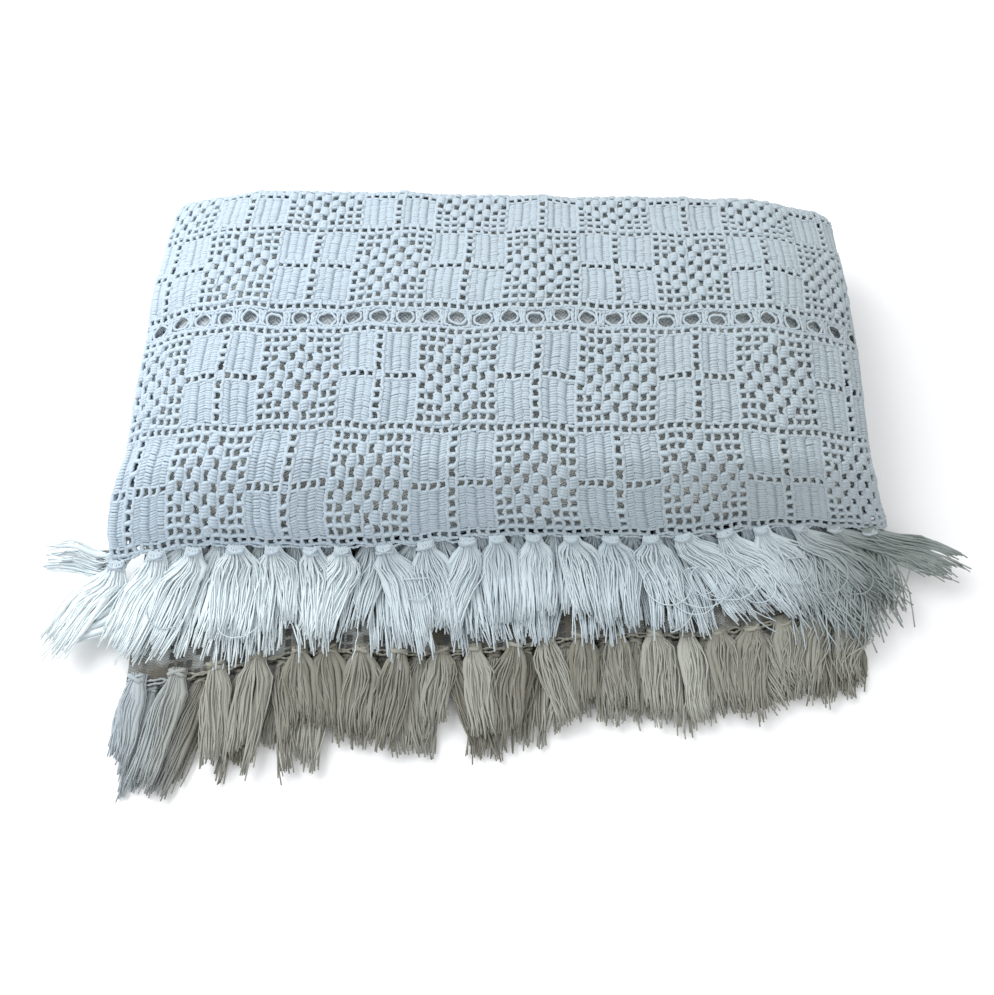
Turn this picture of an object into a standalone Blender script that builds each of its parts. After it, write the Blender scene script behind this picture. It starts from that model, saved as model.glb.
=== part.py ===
"""A crochet bedspread with a knotted tassel fringe, folded into a soft pile.

The cloth is crocheted in long strips of a checkerboard: blocks of four solid squares, and
blocks of open mesh with a diamond in them.  A lace of round eyelets joins strip to strip, and
tassels are knotted into the two long hems.  It is folded in three like a letter across its
length, and that bundle of three plies is then folded back and forth, so that both hems end at
the front: one over the top of the pile and one under it.

The fold is worked out in two steps.  First the clean fold: a letter shaped section, swept
along a path that runs back and forth.  Then the whole space is settled: the pile is crowned in
the middle, sinks at its sides and towards the front, and its bundles lie askew.

Lengths are in metres.  +X runs along the hems, +Y to the back of the pile and +Z up.
"""

import math

import bmesh
import bpy
import numpy as np
from mathutils import Matrix, Vector

# The crochet chart, in cells of the mesh
CELL_WIDTH = 0.0094
CELL_HEIGHT = 0.0113
BLOCK = 9
ROW_OF_BLOCKS = BLOCK + 1
STRIP = 2 * ROW_OF_BLOCKS + 1
JOIN = 1.8
SOLID_CENTRE = 4
EYELET_PITCH = 3
EYELET_RADIUS = 0.0062
MESH_HOLE = (0.0062, 0.0068)

# The cloth and its letter fold
THICKNESS = 0.0034
PLY = 0.0115
BUNDLE = 3 * PLY
LEFT_FOLD_X = -0.392
RIGHT_FOLD_X = 0.383
TUCK = 0.009
PLY_FACES = 8
TOP_PLY_FACES = 12
FACE_EASE = 0.55

# The way of the bundle's middle, from the top hem back and forth to the lower hem
HALF_TURN = math.pi
HEM_HEADING = math.radians(55)
TOP_HEM_Y = -0.2005
DROP_RADIUS = 0.0665
TOP_FRONT_Y = -0.140
FRONT_TURN_Y = -0.146
UPPER_BACK_Y = 0.190
LOWER_BACK_Y = 0.168
LOWER_HEM_Y = -0.322
TURN_RADIUS = BUNDLE / 2
LOWEST_BUNDLE_Z = PLY + THICKNESS / 2
TOP_BUNDLE_Z = LOWEST_BUNDLE_Z + 3 * BUNDLE

# How the tassels go on from the hems: down and out over the lower bundle, and along the floor
TOP_TASSEL_FALL = 0.018
TOP_TASSEL_BEND = 0.050
FRINGE_REACH = 0.140

# How high the pile stands against the clean fold, from front to back
LOFT_EASE = 0.35
LOFT = (
    # y, share of the clean height
    (-0.300, 0.64),
    (-0.215, 0.69),
    (-0.195, 0.80),
    (-0.149, 0.99),
    (-0.086, 1.09),
    (-0.020, 1.15),
    (0.050, 1.16),
    (0.120, 1.10),
    (0.182, 1.02),
    (0.230, 0.98),
)
SHOULDER_X = 0.255
SHOULDER_LENGTH = 0.130
SHOULDER_SINK = 0.22
SHOULDER_POWER = 2.0
SHOULDER_LIMIT = 1.2
SHOULDER_FOOT = (0.015, 0.060)
SWELL = 0.010
SWELL_ACROSS = (17, 1.1)
SWELL_ALONG = (15, 0.6)

# Where a warp sets in, and over what length it grows to the full: up the pile, and to its front
UPPER_PART = (0.040, 0.075)
LOW_PART = (0.020, 0.040)
FRONT_PART = (0.120, 0.120)
SHELF_PART = (0.050, 0.250)
BACK_PART = (0.020, 0.170)

# How the bundles lie askew, how the front edges flare, wave and lie back, how the left side
# spills out at the back, and how the lower right corner is drawn in
UPPER_SKEW = 0.045
LOWER_SKEW = -0.055
SKEW_CENTRE_Y = -0.060
SLIP = 0.002
SLIP_WAVE = (75, 0.8)
FLARE = 0.060
SPILL = 0.026
SPILL_LESS_ABOVE = 0.35
SPILL_SIDE = (0.040, 0.350)
SPILL_BACK = (-0.120, 0.300)
SPILL_FLOOR = (0.040, 0.104)
PULL_IN = 0.030
PULL_IN_SIDE = (0.060, 0.320)
HEM_WAVE = 0.004
HEM_WAVE_ACROSS = (21, 2.0)
TOP_HEM_TILT = 0.020
BACK_TILT = 0.008
SHELF_EDGE = (
    # x, how far the lower hem lies back from its straight line
    (-0.392, -0.030),
    (-0.300, -0.016),
    (-0.200, 0.000),
    (0.000, 0.008),
    (0.200, 0.026),
    (0.330, 0.040),
    (0.383, 0.052),
)

# The fringe: a chained border at each hem, and tassels knotted into it
TASSEL_PITCH = 4 * CELL_WIDTH
END_MARGIN = 0.011
SEAM_GAP = 0.0005
BEND_GAP = 0.0024
BORDER_LENGTH = 0.005
BORDER_THICKNESS = 0.0030
HEAD_WIDTH = 0.0112
HEAD_THICKNESS = 0.0054
HEAD_LENGTH = 0.014
SHORTEST_FIRST_BEND = 0.001
LOCK_HEIGHT = 0.9
LOCK_MIDDLE = 0.0043
LOCK_MIDDLE_AT = 0.42
LONE_LOCK = 1.9
LOCK_TIP = 0.0026
LOCK_UNEVEN = 0.05
LOCK_UNEVEN_RATES = (2.3, 1.9, 0.7)
LOCK_ASIDE = 0.0001
TASSEL_UNEVEN = 0.04
TASSEL_UNEVEN_RATE = 2.9
FAN = 1.8
FAN_MIDDLE = 0.7
TOP_TASSEL = 0.124
LOWER_TASSEL = 0.102
TOP_LOCKS = (1, 5, 1)
LOWER_LOCKS = (1, 1, 3)
TOP_LEAN = (
    # x of the knot, how far the tassel leans to the right, in degrees
    (-0.392, -40),
    (-0.345, -20),
    (-0.220, -5),
    (0.080, 0),
    (0.150, 8),
    (0.210, 28),
    (0.270, 40),
    (0.330, 40),
    (0.383, 52),
)
LOWER_LEAN = (
    (-0.392, -11),
    (-0.300, -6),
    (-0.180, -3),
    (0.100, 0),
    (0.300, -3),
    (0.383, -8),
)
TOP_LENGTHS = (
    # x of the knot, length of the tassel against the hem's longest
    (-0.392, 0.72),
    (-0.340, 1.00),
    (0.300, 1.00),
    (0.383, 0.88),
)
LOWER_LENGTHS = (
    (-0.392, 1.00),
    (-0.250, 1.00),
    (0.000, 0.90),
    (0.383, 0.86),
)
INNER_CORNER_LEAN = -26
INNER_CORNER = (0.335, 0.045)
LEAN_SCATTER = 2
LEAN_RATE = (1.7, 90)
FIRST_TURN_SHARE = 0.45
TURN_RATE = 2.2
LAYER_SAG = 0.30

WHITE_COTTON = (0.86, 0.89, 0.91, 1.0)
FRINGE_COTTON = (0.90, 0.92, 0.93, 1.0)


def clear_scene():
    for obj in list(bpy.data.objects):
        bpy.data.objects.remove(obj)


def new_collection(name):
    collection = bpy.data.collections.new(name)
    bpy.context.scene.collection.children.link(collection)
    return collection


def cotton(name, colour):
    material = bpy.data.materials.new(name)
    material.use_nodes = True
    shader = material.node_tree.nodes["Principled BSDF"]
    shader.inputs["Base Color"].default_value = colour
    shader.inputs["Roughness"].default_value = 0.9
    shader.inputs["Metallic"].default_value = 0.0
    return material


def smooth_step(value):
    value = min(1.0, max(0.0, value))
    return value * value * (3 - 2 * value)


def grown(value, part):
    """How far a warp has grown at a place, from 0 where it sets in to 1."""
    start, length = part
    return smooth_step((value - start) / length)


def wave(value, rate_and_start):
    rate, start = rate_and_start
    return math.sin(rate * value + start)


def table_value(table, x):
    return float(np.interp(x, [row[0] for row in table], [row[1] for row in table]))


def loft_at(y):
    """The pile's height against the clean fold, eased from row to row of the table."""
    if y <= LOFT[0][0]:
        return LOFT[0][1]
    for (y0, share0), (y1, share1) in zip(LOFT, LOFT[1:]):
        if y <= y1:
            t = (y - y0) / (y1 - y0)
            return share0 + (share1 - share0) * (t + LOFT_EASE * (smooth_step(t) - t))
    return LOFT[-1][1]


def shoulder_at(x, z):
    """The upper plies sink towards the left and right sides."""
    past = max(0.0, (abs(x) - SHOULDER_X) / SHOULDER_LENGTH)
    return 1 - SHOULDER_SINK * min(past, SHOULDER_LIMIT) ** SHOULDER_POWER * grown(z, SHOULDER_FOOT)


def settle(x, y, z):
    """Moves a point of the clean fold to where it lies in the soft pile."""
    upper = grown(z, UPPER_PART)
    low = 1 - grown(z, LOW_PART)
    front = grown(-y, FRONT_PART)
    skew = UPPER_SKEW * upper + LOWER_SKEW * (1 - upper)
    swell = 1 + SWELL * wave(x, SWELL_ACROSS) * wave(y, SWELL_ALONG)
    lift = max(0.0, z - THICKNESS)
    height = z - lift + lift * loft_at(y) * shoulder_at(x, z) * swell
    across = x * (1 + FLARE * front * (1 - low)) + skew * (y - SKEW_CENTRE_Y)
    across += SLIP * wave(z, SLIP_WAVE)
    spill = SPILL * (1 - SPILL_LESS_ABOVE * grown(z, SPILL_FLOOR))
    across -= spill * grown(-x, SPILL_SIDE) * grown(y, SPILL_BACK)
    across -= PULL_IN * grown(x, PULL_IN_SIDE) * front * low
    rate, shift = HEM_WAVE_ACROSS
    along = y + HEM_WAVE * front * math.sin(rate * x + shift * upper)
    along += TOP_HEM_TILT * front * (1 - low) * x / RIGHT_FOLD_X
    along -= BACK_TILT * grown(y, BACK_PART) * x / RIGHT_FOLD_X
    along += low * grown(-y, SHELF_PART) * table_value(SHELF_EDGE, x)
    return Vector((across, along, height))


class Route:
    """A line of straights and arcs in a plane, followed from its start."""

    def __init__(self, start, heading):
        self.legs = []
        self.point = Vector(start)
        self.heading = heading
        self.length = 0.0

    def add(self, length, turn=0.0, faces=0):
        self.legs.append((self.length, length, turn, self.point.copy(), self.heading, faces))
        self.point, self.heading = self.step(self.point, self.heading, length, turn, length)
        self.length += length

    @staticmethod
    def step(point, heading, length, turn, gone):
        if abs(turn) < 1e-9:
            ahead = Vector((math.cos(heading), math.sin(heading)))
            return point + ahead * gone, heading
        radius = length / turn
        now = heading + turn * gone / length
        move = Vector((math.sin(now) - math.sin(heading), math.cos(heading) - math.cos(now)))
        return point + move * radius, now

    def at(self, gone):
        """The point, and the direction square to the left of the way, at a length along it."""
        for start, length, turn, point, heading, _ in self.legs:
            if gone <= start + length or start + length >= self.length - 1e-9:
                place, now = self.step(point, heading, length, turn, gone - start)
                return place, Vector((-math.sin(now), math.cos(now)))

    def stations(self):
        """Lengths along the way at which the cloth has an edge."""
        found = []
        for start, length, _, _, _, faces in self.legs:
            if faces and not found:
                found.append(start)
            found += [start + length * (i + 1) / faces for i in range(faces)]
        return found


def letter_section():
    """The three plies, seen along the path: x across, and up the offset from the middle."""
    span = RIGHT_FOLD_X - LEFT_FOLD_X
    section = Route((RIGHT_FOLD_X - TUCK, 0.0), math.pi)
    section.add(span - TUCK, faces=PLY_FACES)
    section.add(HALF_TURN * PLY / 2, -HALF_TURN, faces=3)
    section.add(span, faces=TOP_PLY_FACES)
    section.add(HALF_TURN * PLY, -HALF_TURN, faces=4)
    section.add(span + TUCK, faces=PLY_FACES)
    return section


def fold_path():
    """The way of the bundle's middle, with room for a fringe before and after the cloth."""
    climb = TOP_TASSEL_BEND * HEM_HEADING
    hem_z = TOP_BUNDLE_Z - DROP_RADIUS * (1 - math.cos(HEM_HEADING))
    straight = (TOP_FRONT_Y - DROP_RADIUS * math.sin(HEM_HEADING) - TOP_HEM_Y) / math.cos(HEM_HEADING)
    before = straight + TOP_TASSEL_FALL
    tip = Vector((TOP_HEM_Y - FRINGE_REACH, 0.0))
    bend_end = Vector((TOP_HEM_Y - TOP_TASSEL_FALL * math.cos(HEM_HEADING), 0.0))
    bend_start_y = bend_end.x - TOP_TASSEL_BEND * math.sin(HEM_HEADING)
    tip.y = hem_z - before * math.sin(HEM_HEADING) - TOP_TASSEL_BEND * (1 - math.cos(HEM_HEADING))
    turn = HALF_TURN * TURN_RADIUS
    path = Route(tip, 0.0)
    path.add(bend_start_y - tip.x)
    path.add(climb, HEM_HEADING)
    path.add(TOP_TASSEL_FALL)
    path.add(straight, faces=1)
    path.add(DROP_RADIUS * HEM_HEADING, -HEM_HEADING, faces=3)
    path.add(UPPER_BACK_Y - TOP_FRONT_Y, faces=7)
    path.add(turn, -HALF_TURN, faces=4)
    path.add(UPPER_BACK_Y - FRONT_TURN_Y, faces=3)
    path.add(turn, HALF_TURN, faces=3)
    path.add(LOWER_BACK_Y - FRONT_TURN_Y, faces=3)
    path.add(turn, -HALF_TURN, faces=3)
    path.add(LOWER_BACK_Y - LOWER_HEM_Y, faces=6)
    path.add(FRINGE_REACH)
    return path


SECTION = letter_section()
PATH = fold_path()
TOP_HEM = PATH.stations()[0]
LOWER_HEM = PATH.stations()[-1]


def folded(x, offset, gone):
    """Where the cloth's middle lies, at an offset from the bundle's middle."""
    place, outward = PATH.at(gone)
    spot = place + outward * offset
    return settle(x, spot.x, spot.y)


def cloth_point(along, gone):
    spot, _ = SECTION.at(along)
    return folded(spot.x, spot.y, gone)


def cloth_normal(along, gone):
    """Square to the cloth, on the side of the section's outward direction."""
    small = 0.001
    across = cloth_point(along + small, gone) - cloth_point(along - small, gone)
    onward = cloth_point(along, gone + small) - cloth_point(along, gone - small)
    return across.cross(onward).normalized()


def side_stations(section):
    """The section's stations, drawn closer together where the pile's shoulders bend."""
    found = section.stations()
    first, last = PLY_FACES + 3, PLY_FACES + 3 + TOP_PLY_FACES
    runs = ((0, PLY_FACES), (first, last), (len(found) - 1 - PLY_FACES, len(found) - 1))
    for begin, end in runs:
        a, b = found[begin], found[end]
        for i in range(begin + 1, end):
            t = (i - begin) / (end - begin)
            eased = 0.5 - 0.5 * math.cos(math.pi * t)
            found[i] = a + (b - a) * (t + FACE_EASE * (eased - t))
    return found


def make_cloth(collection, material):
    """The flat cloth is a grid.  Each of its points is moved to its place in the fold."""
    across = side_stations(SECTION)
    along = PATH.stations()
    columns, rows = len(across) - 1, len(along) - 1
    mesh = bpy.data.meshes.new("bedspread_cloth")
    bm = bmesh.new()
    bmesh.ops.create_grid(bm, x_segments=columns, y_segments=rows, size=0.5)
    for vertex in bm.verts:
        column = round((vertex.co.x + 0.5) * columns)
        row = round((vertex.co.y + 0.5) * rows)
        spot, _ = SECTION.at(across[column])
        vertex.co = folded(spot.x, spot.y, along[row])
    bmesh.ops.recalc_face_normals(bm, faces=bm.faces)
    bm.to_mesh(mesh)
    bm.free()
    cloth = bpy.data.objects.new("bedspread_cloth", mesh)
    cloth.data.materials.append(material)
    collection.objects.link(cloth)
    shell = cloth.modifiers.new("cloth thickness", "SOLIDIFY")
    shell.thickness = THICKNESS
    shell.offset = 0.0
    shell.use_even_offset = True
    return cloth


def length_table(point_at, start, stop, steps=400):
    """Distances along a curve in the settled pile, and the values that they belong to."""
    values = np.linspace(start, stop, steps)
    points = np.array([point_at(value) for value in values])
    lengths = np.linalg.norm(np.diff(points, axis=0), axis=1)
    return np.concatenate([[0.0], np.cumsum(lengths)]), values


def top_ply(x, gone):
    return folded(x, PLY, gone)


MIDDLE_GONE = TOP_HEM + 0.22
RISE_LENGTHS, RISE_VALUES = length_table(lambda gone: top_ply(0.0, gone), TOP_HEM, LOWER_HEM)
LEFT_LENGTHS, LEFT_VALUES = length_table(
    lambda x: top_ply(-x, MIDDLE_GONE), 0.0, -LEFT_FOLD_X
)
RIGHT_LENGTHS, RIGHT_VALUES = length_table(
    lambda x: top_ply(x, MIDDLE_GONE), 0.0, RIGHT_FOLD_X
)


def x_of_cells(cells):
    """Across the top ply, from its middle: cells of true width, counted along the cloth."""
    length = abs(cells) * CELL_WIDTH
    if cells < 0:
        return -float(np.interp(length, LEFT_LENGTHS, LEFT_VALUES))
    return float(np.interp(length, RIGHT_LENGTHS, RIGHT_VALUES))


def gone_of_cells(cells):
    """Up the top ply, from the top hem: cells of true height, counted along the cloth."""
    return float(np.interp(cells * CELL_HEIGHT, RISE_LENGTHS, RISE_VALUES))


def half_width_in_cells(side):
    lengths = LEFT_LENGTHS if side < 0 else RIGHT_LENGTHS
    return lengths[-1] / CELL_WIDTH


def hole_frame(column, row):
    """Where a hole of the top ply lies, and its directions: across, up the cloth, and out."""
    x, gone = x_of_cells(column), gone_of_cells(row)
    small = 0.002
    centre = top_ply(x, gone)
    across = (top_ply(x + small, gone) - top_ply(x - small, gone)).normalized()
    upward = (top_ply(x, gone + small) - top_ply(x, gone - small)).normalized()
    out = across.cross(upward).normalized()
    turned = Matrix((across, out.cross(across), out)).transposed().to_4x4()
    return Matrix.Translation(centre) @ turned


def eyelet_places():
    """The eyelets of the join that crosses the top of the pile, a few cells in from its sides."""
    row = STRIP + JOIN / 2
    left, right = half_width_in_cells(-1) - 1.5, half_width_in_cells(1) - 1.5
    first = math.ceil((-left - 0.5) / EYELET_PITCH)
    last = math.floor((right - 0.5) / EYELET_PITCH)
    return [(i * EYELET_PITCH + 0.5, row) for i in range(first, last + 1)]


def diamond_places():
    """The open cells inside the diamonds of the mesh blocks that show on top of the pile."""
    block_rows = (
        # lowest row of the block, and whether its solid blocks stand at SOLID_CENTRE
        (1, False),
        (1 + ROW_OF_BLOCKS, True),
        (1 + STRIP + JOIN, False),
    )
    middle = BLOCK // 2
    left, right = half_width_in_cells(-1) - 1, half_width_in_cells(1) - 1
    found = []
    for base, at_solid_centre in block_rows:
        shift = BLOCK if at_solid_centre else 0
        for repeat in range(-3, 4):
            centre = SOLID_CENTRE + shift + 2 * BLOCK * repeat
            if not -left + middle < centre < right - middle:
                continue
            for row in range(BLOCK):
                for column in range(BLOCK):
                    steps = abs(row - middle) + abs(column - middle)
                    if steps % 2 == 1 and steps < middle:
                        found.append((centre + column - middle, base + row + 0.5))
    return found


def make_cutter(collection):
    """Every hole of the top ply as a short post, all in one mesh."""
    mesh = bpy.data.meshes.new("hole_cutter")
    bm = bmesh.new()
    depth = 2.4 * THICKNESS
    for place in eyelet_places():
        bmesh.ops.create_cone(
            bm,
            cap_ends=True,
            segments=8,
            radius1=EYELET_RADIUS,
            radius2=EYELET_RADIUS,
            depth=depth,
            matrix=hole_frame(*place),
        )
    for place in diamond_places():
        scale = Matrix.Diagonal((MESH_HOLE[0], MESH_HOLE[1], depth, 1.0))
        bmesh.ops.create_cube(bm, size=1.0, matrix=hole_frame(*place) @ scale)
    bm.to_mesh(mesh)
    bm.free()
    cutter = bpy.data.objects.new("hole_cutter", mesh)
    collection.objects.link(cutter)
    cutter.hide_render = True
    cutter.display_type = "WIRE"
    return cutter


def cut_holes(cloth, cutter):
    cut = cloth.modifiers.new("holes of the crochet", "BOOLEAN")
    cut.operation = "DIFFERENCE"
    cut.solver = "EXACT"
    cut.object = cutter


class Fringe:
    """One hem's border and tassels.

    It is modelled straight, in a space of its own: X is the length along the hem, Y the way
    out from the cloth, and Z the height over the under side of the ply.  Then each point is
    laid in its place on the pile.
    """

    def __init__(self, hem, way, locks, lean, longest, lengths):
        self.hem = hem
        self.way = way
        self.lean = lean
        self.longest = longest
        self.lengths = lengths
        self.stations = side_stations(SECTION)
        self.tassels = []
        plies = (
            (0.0, 0, -1, locks[0]),
            (PLY, PLY_FACES + 3, 1, locks[1]),
            (-PLY, PLY_FACES + 3 + TOP_PLY_FACES + 4, -1, locks[2]),
        )
        span = RIGHT_FOLD_X - LEFT_FOLD_X - 2 * END_MARGIN
        count = round(span / TASSEL_PITCH) + 1
        for offset, first_station, heading, lock_count in plies:
            start, _ = SECTION.at(self.stations[first_station])
            for i in range(count):
                x = LEFT_FOLD_X + END_MARGIN + span * i / (count - 1)
                place = self.stations[first_station] + heading * (x - start.x)
                place, x = self.clear_of_bends(place, x, heading)
                self.tassels.append((place, x, offset, heading, lock_count, i))
        self.tassels.sort()
        self.places = np.array([tassel[0] for tassel in self.tassels])

    def clear_of_bends(self, place, x, heading):
        """Shifts a head that sits on a bend of the cloth's edge to one side of the bend."""
        for station in self.stations:
            room = HEAD_WIDTH / 2 + SHORTEST_FIRST_BEND
            if abs(place - station) < room:
                moved = station + room if place > station else station - room
                return moved, x + (moved - place) * heading
        return place, x

    def nearest(self, along):
        return self.tassels[int(np.argmin(abs(self.places - along)))]

    def edge_point(self, along, away, up):
        """On the border: it follows the straight runs of the cloth's edge."""
        i = int(np.searchsorted(self.stations, along, side="right")) - 1
        i = min(max(i, 0), len(self.stations) - 2)
        ends = []
        for station in self.stations[i:i + 2]:
            gap = BEND_GAP if self.on_bend(station) else SEAM_GAP
            gone = self.hem - self.way * (gap + away)
            ends.append(cloth_point(station, gone) + cloth_normal(station, gone) * (up - THICKNESS / 2))
        share = (along - self.stations[i]) / (self.stations[i + 1] - self.stations[i])
        return ends[0].lerp(ends[1], share)

    def layer_base(self, offset, share):
        """The under side of a ply's layer of tassels, which sags towards the lowest layer."""
        lowest = -PLY * self.way
        eased = 1 - LAYER_SAG * smooth_step(share)
        return lowest + (offset - lowest) * eased - self.way * THICKNESS / 2

    def lean_of(self, x, offset, number):
        """Degrees to the right.  At the upper left corner the inner tassels lie far out."""
        by_number, by_offset = LEAN_RATE
        lean = table_value(self.lean, x)
        lean += LEAN_SCATTER * math.sin(by_number * number + by_offset * offset)
        if self.way > 0 and offset < PLY / 2:
            lean += INNER_CORNER_LEAN * grown(-x, INNER_CORNER)
        return lean

    def tassel_point(self, along, away, up):
        place, x, offset, heading, _, number = self.nearest(along)
        across = (along - place) * heading
        share = min(1.0, away / self.longest)
        turned = math.radians(self.lean_of(x, offset, number))
        turned *= FIRST_TURN_SHARE + (1 - FIRST_TURN_SHARE) * smooth_step(share * TURN_RATE)
        aside = away * math.sin(turned) + across * math.cos(turned)
        ahead = away * math.cos(turned) - across * math.sin(turned)
        base = self.layer_base(offset, share)
        return folded(x + aside, base + self.way * up, self.hem - self.way * (SEAM_GAP + ahead))

    def on_bend(self, station):
        """Whether a place lies on one of the two turns of the letter fold."""
        ply_ends = (
            PLY_FACES,
            PLY_FACES + 3,
            PLY_FACES + 3 + TOP_PLY_FACES,
            PLY_FACES + 7 + TOP_PLY_FACES,
        )
        left_start, left_end, right_start, right_end = [self.stations[i] for i in ply_ends]
        return left_start < station < left_end or right_start < station < right_end

    def make_border(self, bm):
        """A three sided bar with a cut at each bend of the edge and beside each head."""
        cuts = set(self.stations)
        for place in self.places:
            cuts |= {place - HEAD_WIDTH / 2, place + HEAD_WIDTH / 2}
        cuts = sorted(cuts)
        bmesh.ops.create_cone(bm, cap_ends=True, segments=3, radius1=1.0, radius2=1.0, depth=1.0)
        long_edges = [edge for edge in bm.edges if edge.calc_length() < 1.2
                      and abs(edge.verts[0].co.z - edge.verts[1].co.z) > 0.5]
        bmesh.ops.subdivide_edges(bm, edges=long_edges, cuts=len(cuts) - 2)
        widest = max(point.co.x for point in bm.verts)
        for point in bm.verts:
            along = cuts[round((point.co.z + 0.5) * (len(cuts) - 1))]
            away = (1 - point.co.y) / 1.5 * BORDER_LENGTH
            up = THICKNESS / 2 + point.co.x / widest * BORDER_THICKNESS / 2
            point.co = (along, away, up)

    @staticmethod
    def faces_at(bm, away):
        """Faces that look away from the cloth, at a distance from it."""
        return [face for face in bm.faces if all(abs(v.co.y - away) < 1e-6 for v in face.verts)]

    def make_heads(self, bm):
        fronts = self.faces_at(bm, BORDER_LENGTH)
        found = []
        for face in fronts:
            along = face.calc_center_median().x
            if abs(self.nearest(along)[0] - along) < HEAD_WIDTH / 4:
                found.append(face)
        heads = bmesh.ops.extrude_discrete_faces(bm, faces=found)["faces"]
        for face in heads:
            turned_over = self.nearest(face.calc_center_median().x)[3] != self.way
            for point in face.verts:
                point.co.y = HEAD_LENGTH
                top = (point.co.z > THICKNESS / 2) != turned_over
                point.co.z = HEAD_THICKNESS if top else 0.0
        for locks in sorted({tassel[4] for tassel in self.tassels} - {1}):
            edges = []
            for face in self.faces_at(bm, HEAD_LENGTH):
                if self.nearest(face.calc_center_median().x)[4] == locks:
                    edges += [e for e in face.edges if abs(e.verts[0].co.x - e.verts[1].co.x) > 1e-6]
            bmesh.ops.subdivide_edges(bm, edges=edges, cuts=locks - 1)

    def lock_ring(self, bm, faces, share, size_at, fan):
        """Draws the faces out to the next ring of each lock, at a share of its length."""
        rings = bmesh.ops.extrude_discrete_faces(bm, faces=faces)["faces"]
        for face in rings:
            centre = face.calc_center_median()
            place, x, _, _, locks, number = self.nearest(centre.x)
            step = round((centre.x - place) / self.spacing(locks, self.last_fan) - (locks - 1) / 2)
            by_number, by_step, by_locks = LOCK_UNEVEN_RATES
            uneven = math.sin(by_number * number + by_step * step + by_locks * locks)
            long = self.longest * table_value(self.lengths, x)
            if share == 1.0:
                long *= 1 + LOCK_UNEVEN * (uneven - 1)
                long *= 1 + TASSEL_UNEVEN * math.sin(TASSEL_UNEVEN_RATE * number)
            size = size_at * (LONE_LOCK if locks == 1 else 1.0)
            middle = place + (step + (locks - 1) / 2) * self.spacing(locks, fan) + LOCK_ASIDE * uneven
            for point in face.verts:
                side = 1 if point.co.x > centre.x else -1
                top = point.co.z > centre.z
                point.co.x = middle + side * size / 2
                point.co.z = size_at * LOCK_HEIGHT if top else 0.0
                point.co.y = HEAD_LENGTH + (long - HEAD_LENGTH) * share
        self.last_fan = fan
        return rings

    def spacing(self, locks, fan):
        return HEAD_WIDTH / locks * fan

    def make(self, name):
        bm = bmesh.new()
        self.make_border(bm)
        self.make_heads(bm)
        self.last_fan = 1.0
        ends = self.faces_at(bm, HEAD_LENGTH)
        middles = self.lock_ring(bm, ends, LOCK_MIDDLE_AT, LOCK_MIDDLE, 1 + FAN * FAN_MIDDLE)
        self.lock_ring(bm, middles, 1.0, LOCK_TIP, 1 + FAN)
        for point in bm.verts:
            along, away, up = point.co
            if away < BORDER_LENGTH + 1e-6:
                point.co = self.edge_point(along, away, up)
            else:
                point.co = self.tassel_point(along, away, up)
        bmesh.ops.recalc_face_normals(bm, faces=bm.faces)
        if bm.calc_volume(signed=True) < 0:
            bmesh.ops.reverse_faces(bm, faces=bm.faces)
        mesh = bpy.data.meshes.new(name)
        bm.to_mesh(mesh)
        bm.free()
        return mesh


def make_fringe(name, fringe, collection, material):
    made = bpy.data.objects.new(name, fringe.make(name))
    made.data.materials.append(material)
    collection.objects.link(made)


def make_all():
    clear_scene()
    bedspread = new_collection("crochet_bedspread")
    cutters = new_collection("cutters")
    cloth = make_cloth(bedspread, cotton("white_cotton", WHITE_COTTON))
    cut_holes(cloth, make_cutter(cutters))
    top = Fringe(TOP_HEM, 1, TOP_LOCKS, TOP_LEAN, TOP_TASSEL, TOP_LENGTHS)
    make_fringe("top_hem_fringe", top, bedspread, cotton("top_fringe_cotton", FRINGE_COTTON))
    lower = Fringe(LOWER_HEM, -1, LOWER_LOCKS, LOWER_LEAN, LOWER_TASSEL, LOWER_LENGTHS)
    make_fringe("lower_hem_fringe", lower, bedspread, cotton("lower_fringe_cotton", FRINGE_COTTON))


make_all()
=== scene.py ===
# %% [markdown]
# # A crochet bedspread, folded into a soft pile
#
# The real bedspread is white cotton filet crochet: strips of a chequered chart, joined by a
# lace of round eyelets, with tassels knotted into both long hems.  It is folded in three like
# a letter and then back and forth.  In Blender such a cloth could be simulated, but a folded
# pile of four square metres of net would never settle twice in the same way.  So the fold is
# written as a formula, the same one that shaped the CAD solids, and every piece below, from
# the cloth to the last thread of a tassel, is made flat and then laid in the fold by it.

# %% Load the frame and keep the size of the solids
import math
from types import SimpleNamespace

import bpy
import numpy as np
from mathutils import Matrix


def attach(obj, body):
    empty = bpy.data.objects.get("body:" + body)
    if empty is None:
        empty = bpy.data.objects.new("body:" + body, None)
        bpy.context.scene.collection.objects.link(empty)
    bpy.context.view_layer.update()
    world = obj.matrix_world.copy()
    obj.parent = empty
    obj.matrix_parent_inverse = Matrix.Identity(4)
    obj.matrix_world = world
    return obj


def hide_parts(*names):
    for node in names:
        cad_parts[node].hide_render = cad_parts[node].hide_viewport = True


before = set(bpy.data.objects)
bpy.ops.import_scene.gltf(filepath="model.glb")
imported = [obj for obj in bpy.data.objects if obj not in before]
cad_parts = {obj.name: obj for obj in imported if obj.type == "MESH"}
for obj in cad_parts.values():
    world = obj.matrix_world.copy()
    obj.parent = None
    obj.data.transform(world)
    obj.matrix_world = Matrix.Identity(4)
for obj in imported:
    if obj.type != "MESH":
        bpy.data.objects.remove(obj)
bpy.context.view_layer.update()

# %% [markdown]
# ## The camera
#
# The pile is seen from in front and well above, so its top fills the view and both fringes
# hang towards us.  The camera looks a little to one side of the picture's middle, as in a
# picture that was cropped after it was taken, so the lens is shifted instead of tilted.

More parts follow.
